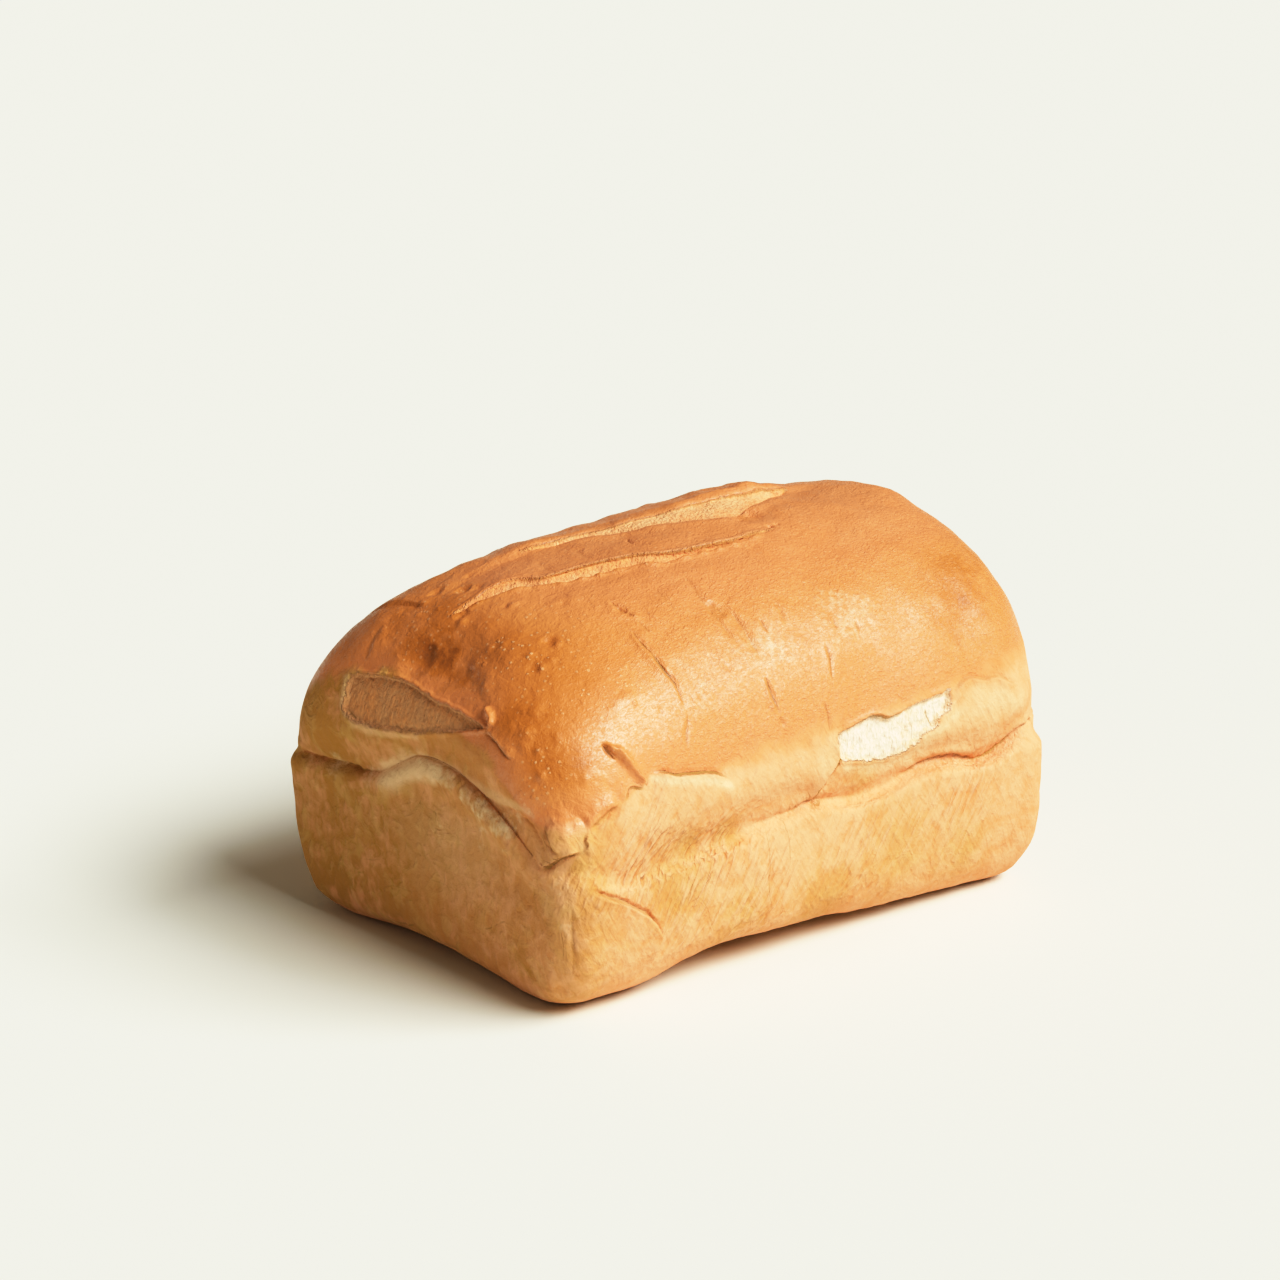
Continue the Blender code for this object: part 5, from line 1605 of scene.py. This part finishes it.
def crumb_colour(n):
    """Torn crumb: pale or golden, with painted shade in its pits and between its ribs."""
    k = n.kept
    at_edge = n.times(n.fit(k.torn_edge, 0.0022, 0.0), -0.12)
    paleness = n.plus(k.mark["pale"], n.centred(k.patchy, 0.32), n.centred(k.fine, 0.34), at_edge)
    pits = n.fit(n.noise(k.spot, *PITS), 0.34, 0.52, 0.84, 1.0)
    pitted = n.times(pits, n.fit(k.ribs, 0.34, 0.52, 0.94, 1.0))
    shade = n.add("ShaderNodeCombineColor", {0: pitted, 1: pitted, 2: pitted}).outputs[0]
    return n.mix(1.0, n.steps(paleness, CRUMB_STEPS), shade, 'MULTIPLY')


def cracked(n, colour):
    """Painted shade as a thin dark line in cracks, often with a painted highlight beside it, and the frayed
    crumb at the fold.
    """
    k = n.kept
    crack, fray = k.mark["crack"], k.mark["fray"]
    # A painted highlight on the rim beside a crack
    beside = n.times(n.fit(crack, 1.0, 1.6), n.fit(crack, 2.8, 1.8), k.mark["crack_shade"])
    colour = n.mix(n.times(beside, 0.20), colour, CRACK_RIM_HIGHLIGHT)
    frayed = n.times(fray, n.fit(k.strands, 0.50, 0.70))
    crease_shade = n.math('MAXIMUM', k.crack_line, n.times(frayed, 0.30), clamp=True)
    crease_shade_colour = n.mix(0.65, n.mix(1.0, colour, CRACK_SHADE_TINT, 'MULTIPLY'), CRACK_SHADE_BROWN)
    colour = n.mix(crease_shade, colour, crease_shade_colour)
    fluff = n.times(fray, n.fit(k.strands, 0.44, 0.34))
    return n.mix(n.times(fluff, 0.5), colour, SMEAR_AND_PAINTED_LIGHT)


def fine_relief(n):
    """Height of everything that is finer than the mesh."""
    k = n.kept
    crinkled = n.times(k.crinkle, n.fit(k.place[0], *SMOOTH_END))
    return n.plus(
        n.times(crinkled, n.blend(k.glazed, DRY_CRINKLE_RELIEF, CRINKLE_RELIEF + DRY_CRINKLE_RELIEF)),
        n.times(k.lumpy, LUMP_RELIEF),
        n.times(k.flow, k.dry, FLOW_RELIEF),
        n.times(k.woven, k.mark["weave"], WEAVE_RELIEF),
        n.times(n.streaks(k.spot, *STRETCHED), k.mark["stria"], STRIA_RELIEF),
        n.times(k.grain, GRAIN_RELIEF),
        n.times(n.grains(k.spot, *BUBBLES), k.mark["speckle"], BUBBLE_RELIEF),
        n.times(k.speckled, SPECKLE_RELIEF),
        n.times(n.streaks(k.spot, *HOLES), k.crumbed, HOLE_RELIEF),
        n.times(k.ribs, k.crumbed, RIB_RELIEF),
        n.times(k.strands, k.mark["fray"], STRAND_RELIEF),
        n.times(k.crack_line, CRACK_RELIEF),
        n.times(k.netted, k.mark["tan_and_shade"], NET_RELIEF),
        n.times(k.veined, VEIN_RELIEF),
    )


def crust_gloss(n):
    """How much of the glaze shows: on the browned crust, and broken up by its wrinkles."""
    k = n.kept
    sheen = n.plus(n.times(k.crinkle, 0.7), n.times(k.fine, 0.3))
    return n.times(k.glazed, n.math('SUBTRACT', 1.0, k.crumbed), n.fit(sheen, 0.38, 0.58, 0.30, 0.84))


def baked_crust():
    """The loaf's one material: crust, and crumb where the crust is torn."""
    material = bpy.data.materials.new("baked_crust")
    material.use_nodes = True
    tree = material.node_tree
    shader = tree.nodes["Principled BSDF"]
    n = Nodes(tree)
    crust_patterns(n)
    colour = cracked(n, n.mix(n.kept.crumbed, crust_colour(n), crumb_colour(n)))
    bump = n.add("ShaderNodeBump", {"Height": fine_relief(n), "Strength": 1.0, "Distance": 1.0})
    gloss = crust_gloss(n)
    roughness = n.plus(n.blend(gloss, DRY_ROUGHNESS, GLOSS_ROUGHNESS), n.centred(n.kept.fine, 0.10))
    shader.inputs["Coat Roughness"].default_value = GLAZE_ROUGHNESS
    tree.links.new(gloss, shader.inputs["Coat Weight"])
    tree.links.new(colour, shader.inputs["Base Color"])
    tree.links.new(roughness, shader.inputs["Roughness"])
    tree.links.new(bump.outputs[0], shader.inputs["Normal"])
    return material


# ---------------------------------------------------------------- building the loaf

def worked_loaf(bm, tree):
    """Everything that baking did to the plain form."""
    loaf = Loaf(bm)
    soft_forms(loaf)
    swell_lip(loaf)
    for laid, depths, valleys in fold_lines(tree):
        deepen_fold(loaf, laid, depths, valleys)
    tear_patches(loaf)
    crease_crust(loaf, tree)
    turn_flap(loaf, tree)
    open_near_cut(loaf)
    open_far_cut(loaf)
    browning(loaf)
    stain(loaf, tree)
    return loaf


def bread_loaf():
    """The loaf as one piece, with its marks kept at its points for the material."""
    bm = plain_loaf()
    tree = BVHTree.FromBMesh(bm)
    refine_near_features(bm, tree)
    loaf = worked_loaf(bm, tree)
    move_points(bm, loaf.points)
    mesh = bpy.data.meshes.new("loaf")
    bm.to_mesh(mesh)
    bm.free()
    mesh.shade_smooth()
    for name, values in loaf.marks.items():
        mesh.attributes.new(name, 'FLOAT', 'POINT').data.foreach_set("value", values.astype(np.float32))
    mesh.materials.append(baked_crust())
    piece = bpy.data.objects.new("bread_loaf", mesh)
    bpy.context.scene.collection.objects.link(piece)
    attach(piece, "root")
    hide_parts("loaf")


# ---------------------------------------------------------------- floor, light and camera

def pale_floor():
    """A plain dull floor that runs out of sight."""
    bm = bmesh.new()
    bmesh.ops.create_grid(bm, x_segments=1, y_segments=1, size=FLOOR_SIZE / 2)
    mesh = bpy.data.meshes.new("floor")
    bm.to_mesh(mesh)
    bm.free()
    floor = bpy.data.objects.new("floor", mesh)
    bpy.context.scene.collection.objects.link(floor)
    material = bpy.data.materials.new("pale_floor")
    material.use_nodes = True
    shader = material.node_tree.nodes["Principled BSDF"]
    shader.inputs["Base Color"].default_value = FLOOR_COLOUR
    shader.inputs["Roughness"].default_value = 1.0
    shader.inputs["Specular IOR Level"].default_value = 0.0
    mesh.materials.append(material)


def studio_light():
    """Soft lamps from the right, a warm sky, and the picture's contrast."""
    for turn, strength in LAMPS:
        sun = bpy.data.lights.new("lamp", 'SUN')
        sun.energy = strength
        sun.color = LAMP_COLOUR
        sun.angle = LAMP_SOFTNESS
        lamp = bpy.data.objects.new("lamp", sun)
        level = math.cos(LAMP_RISE)
        toward = Vector((level * math.cos(turn), level * math.sin(turn), math.sin(LAMP_RISE)))
        lamp.rotation_euler = toward.to_track_quat('Z', 'Y').to_euler()
        bpy.context.scene.collection.objects.link(lamp)
    world = bpy.data.worlds.new("sky")
    world.use_nodes = True
    world.node_tree.nodes["Background"].inputs["Color"].default_value = SKY_COLOUR
    world.node_tree.nodes["Background"].inputs["Strength"].default_value = SKY_STRENGTH
    bpy.context.scene.world = world
    view = bpy.context.scene.view_settings
    view.view_transform = 'Standard'
    view.use_curve_mapping = True
    curve = view.curve_mapping.curves[3]
    curve.points[0].location, curve.points[-1].location = PICTURE_CURVE[0], PICTURE_CURVE[-1]
    for place, value in PICTURE_CURVE[1:-1]:
        curve.points.new(place, value)
    view.curve_mapping.extend = 'EXTRAPOLATED'
    view.curve_mapping.update()


def camera():
    """A long lens at the picture's angle."""
    _, back, _, place = camera_axes()
    lens = bpy.data.cameras.new("camera")
    lens.lens = CAMERA_LENS
    lens.sensor_width = CAMERA_SENSOR
    lens.clip_end = CAMERA_REACH
    holder = bpy.data.objects.new("camera", lens)
    holder.location = place
    holder.rotation_euler = back.to_track_quat('Z', 'Y').to_euler()
    bpy.context.scene.collection.objects.link(holder)
    bpy.context.scene.camera = holder


bread_loaf()
pale_floor()
studio_light()
camera()
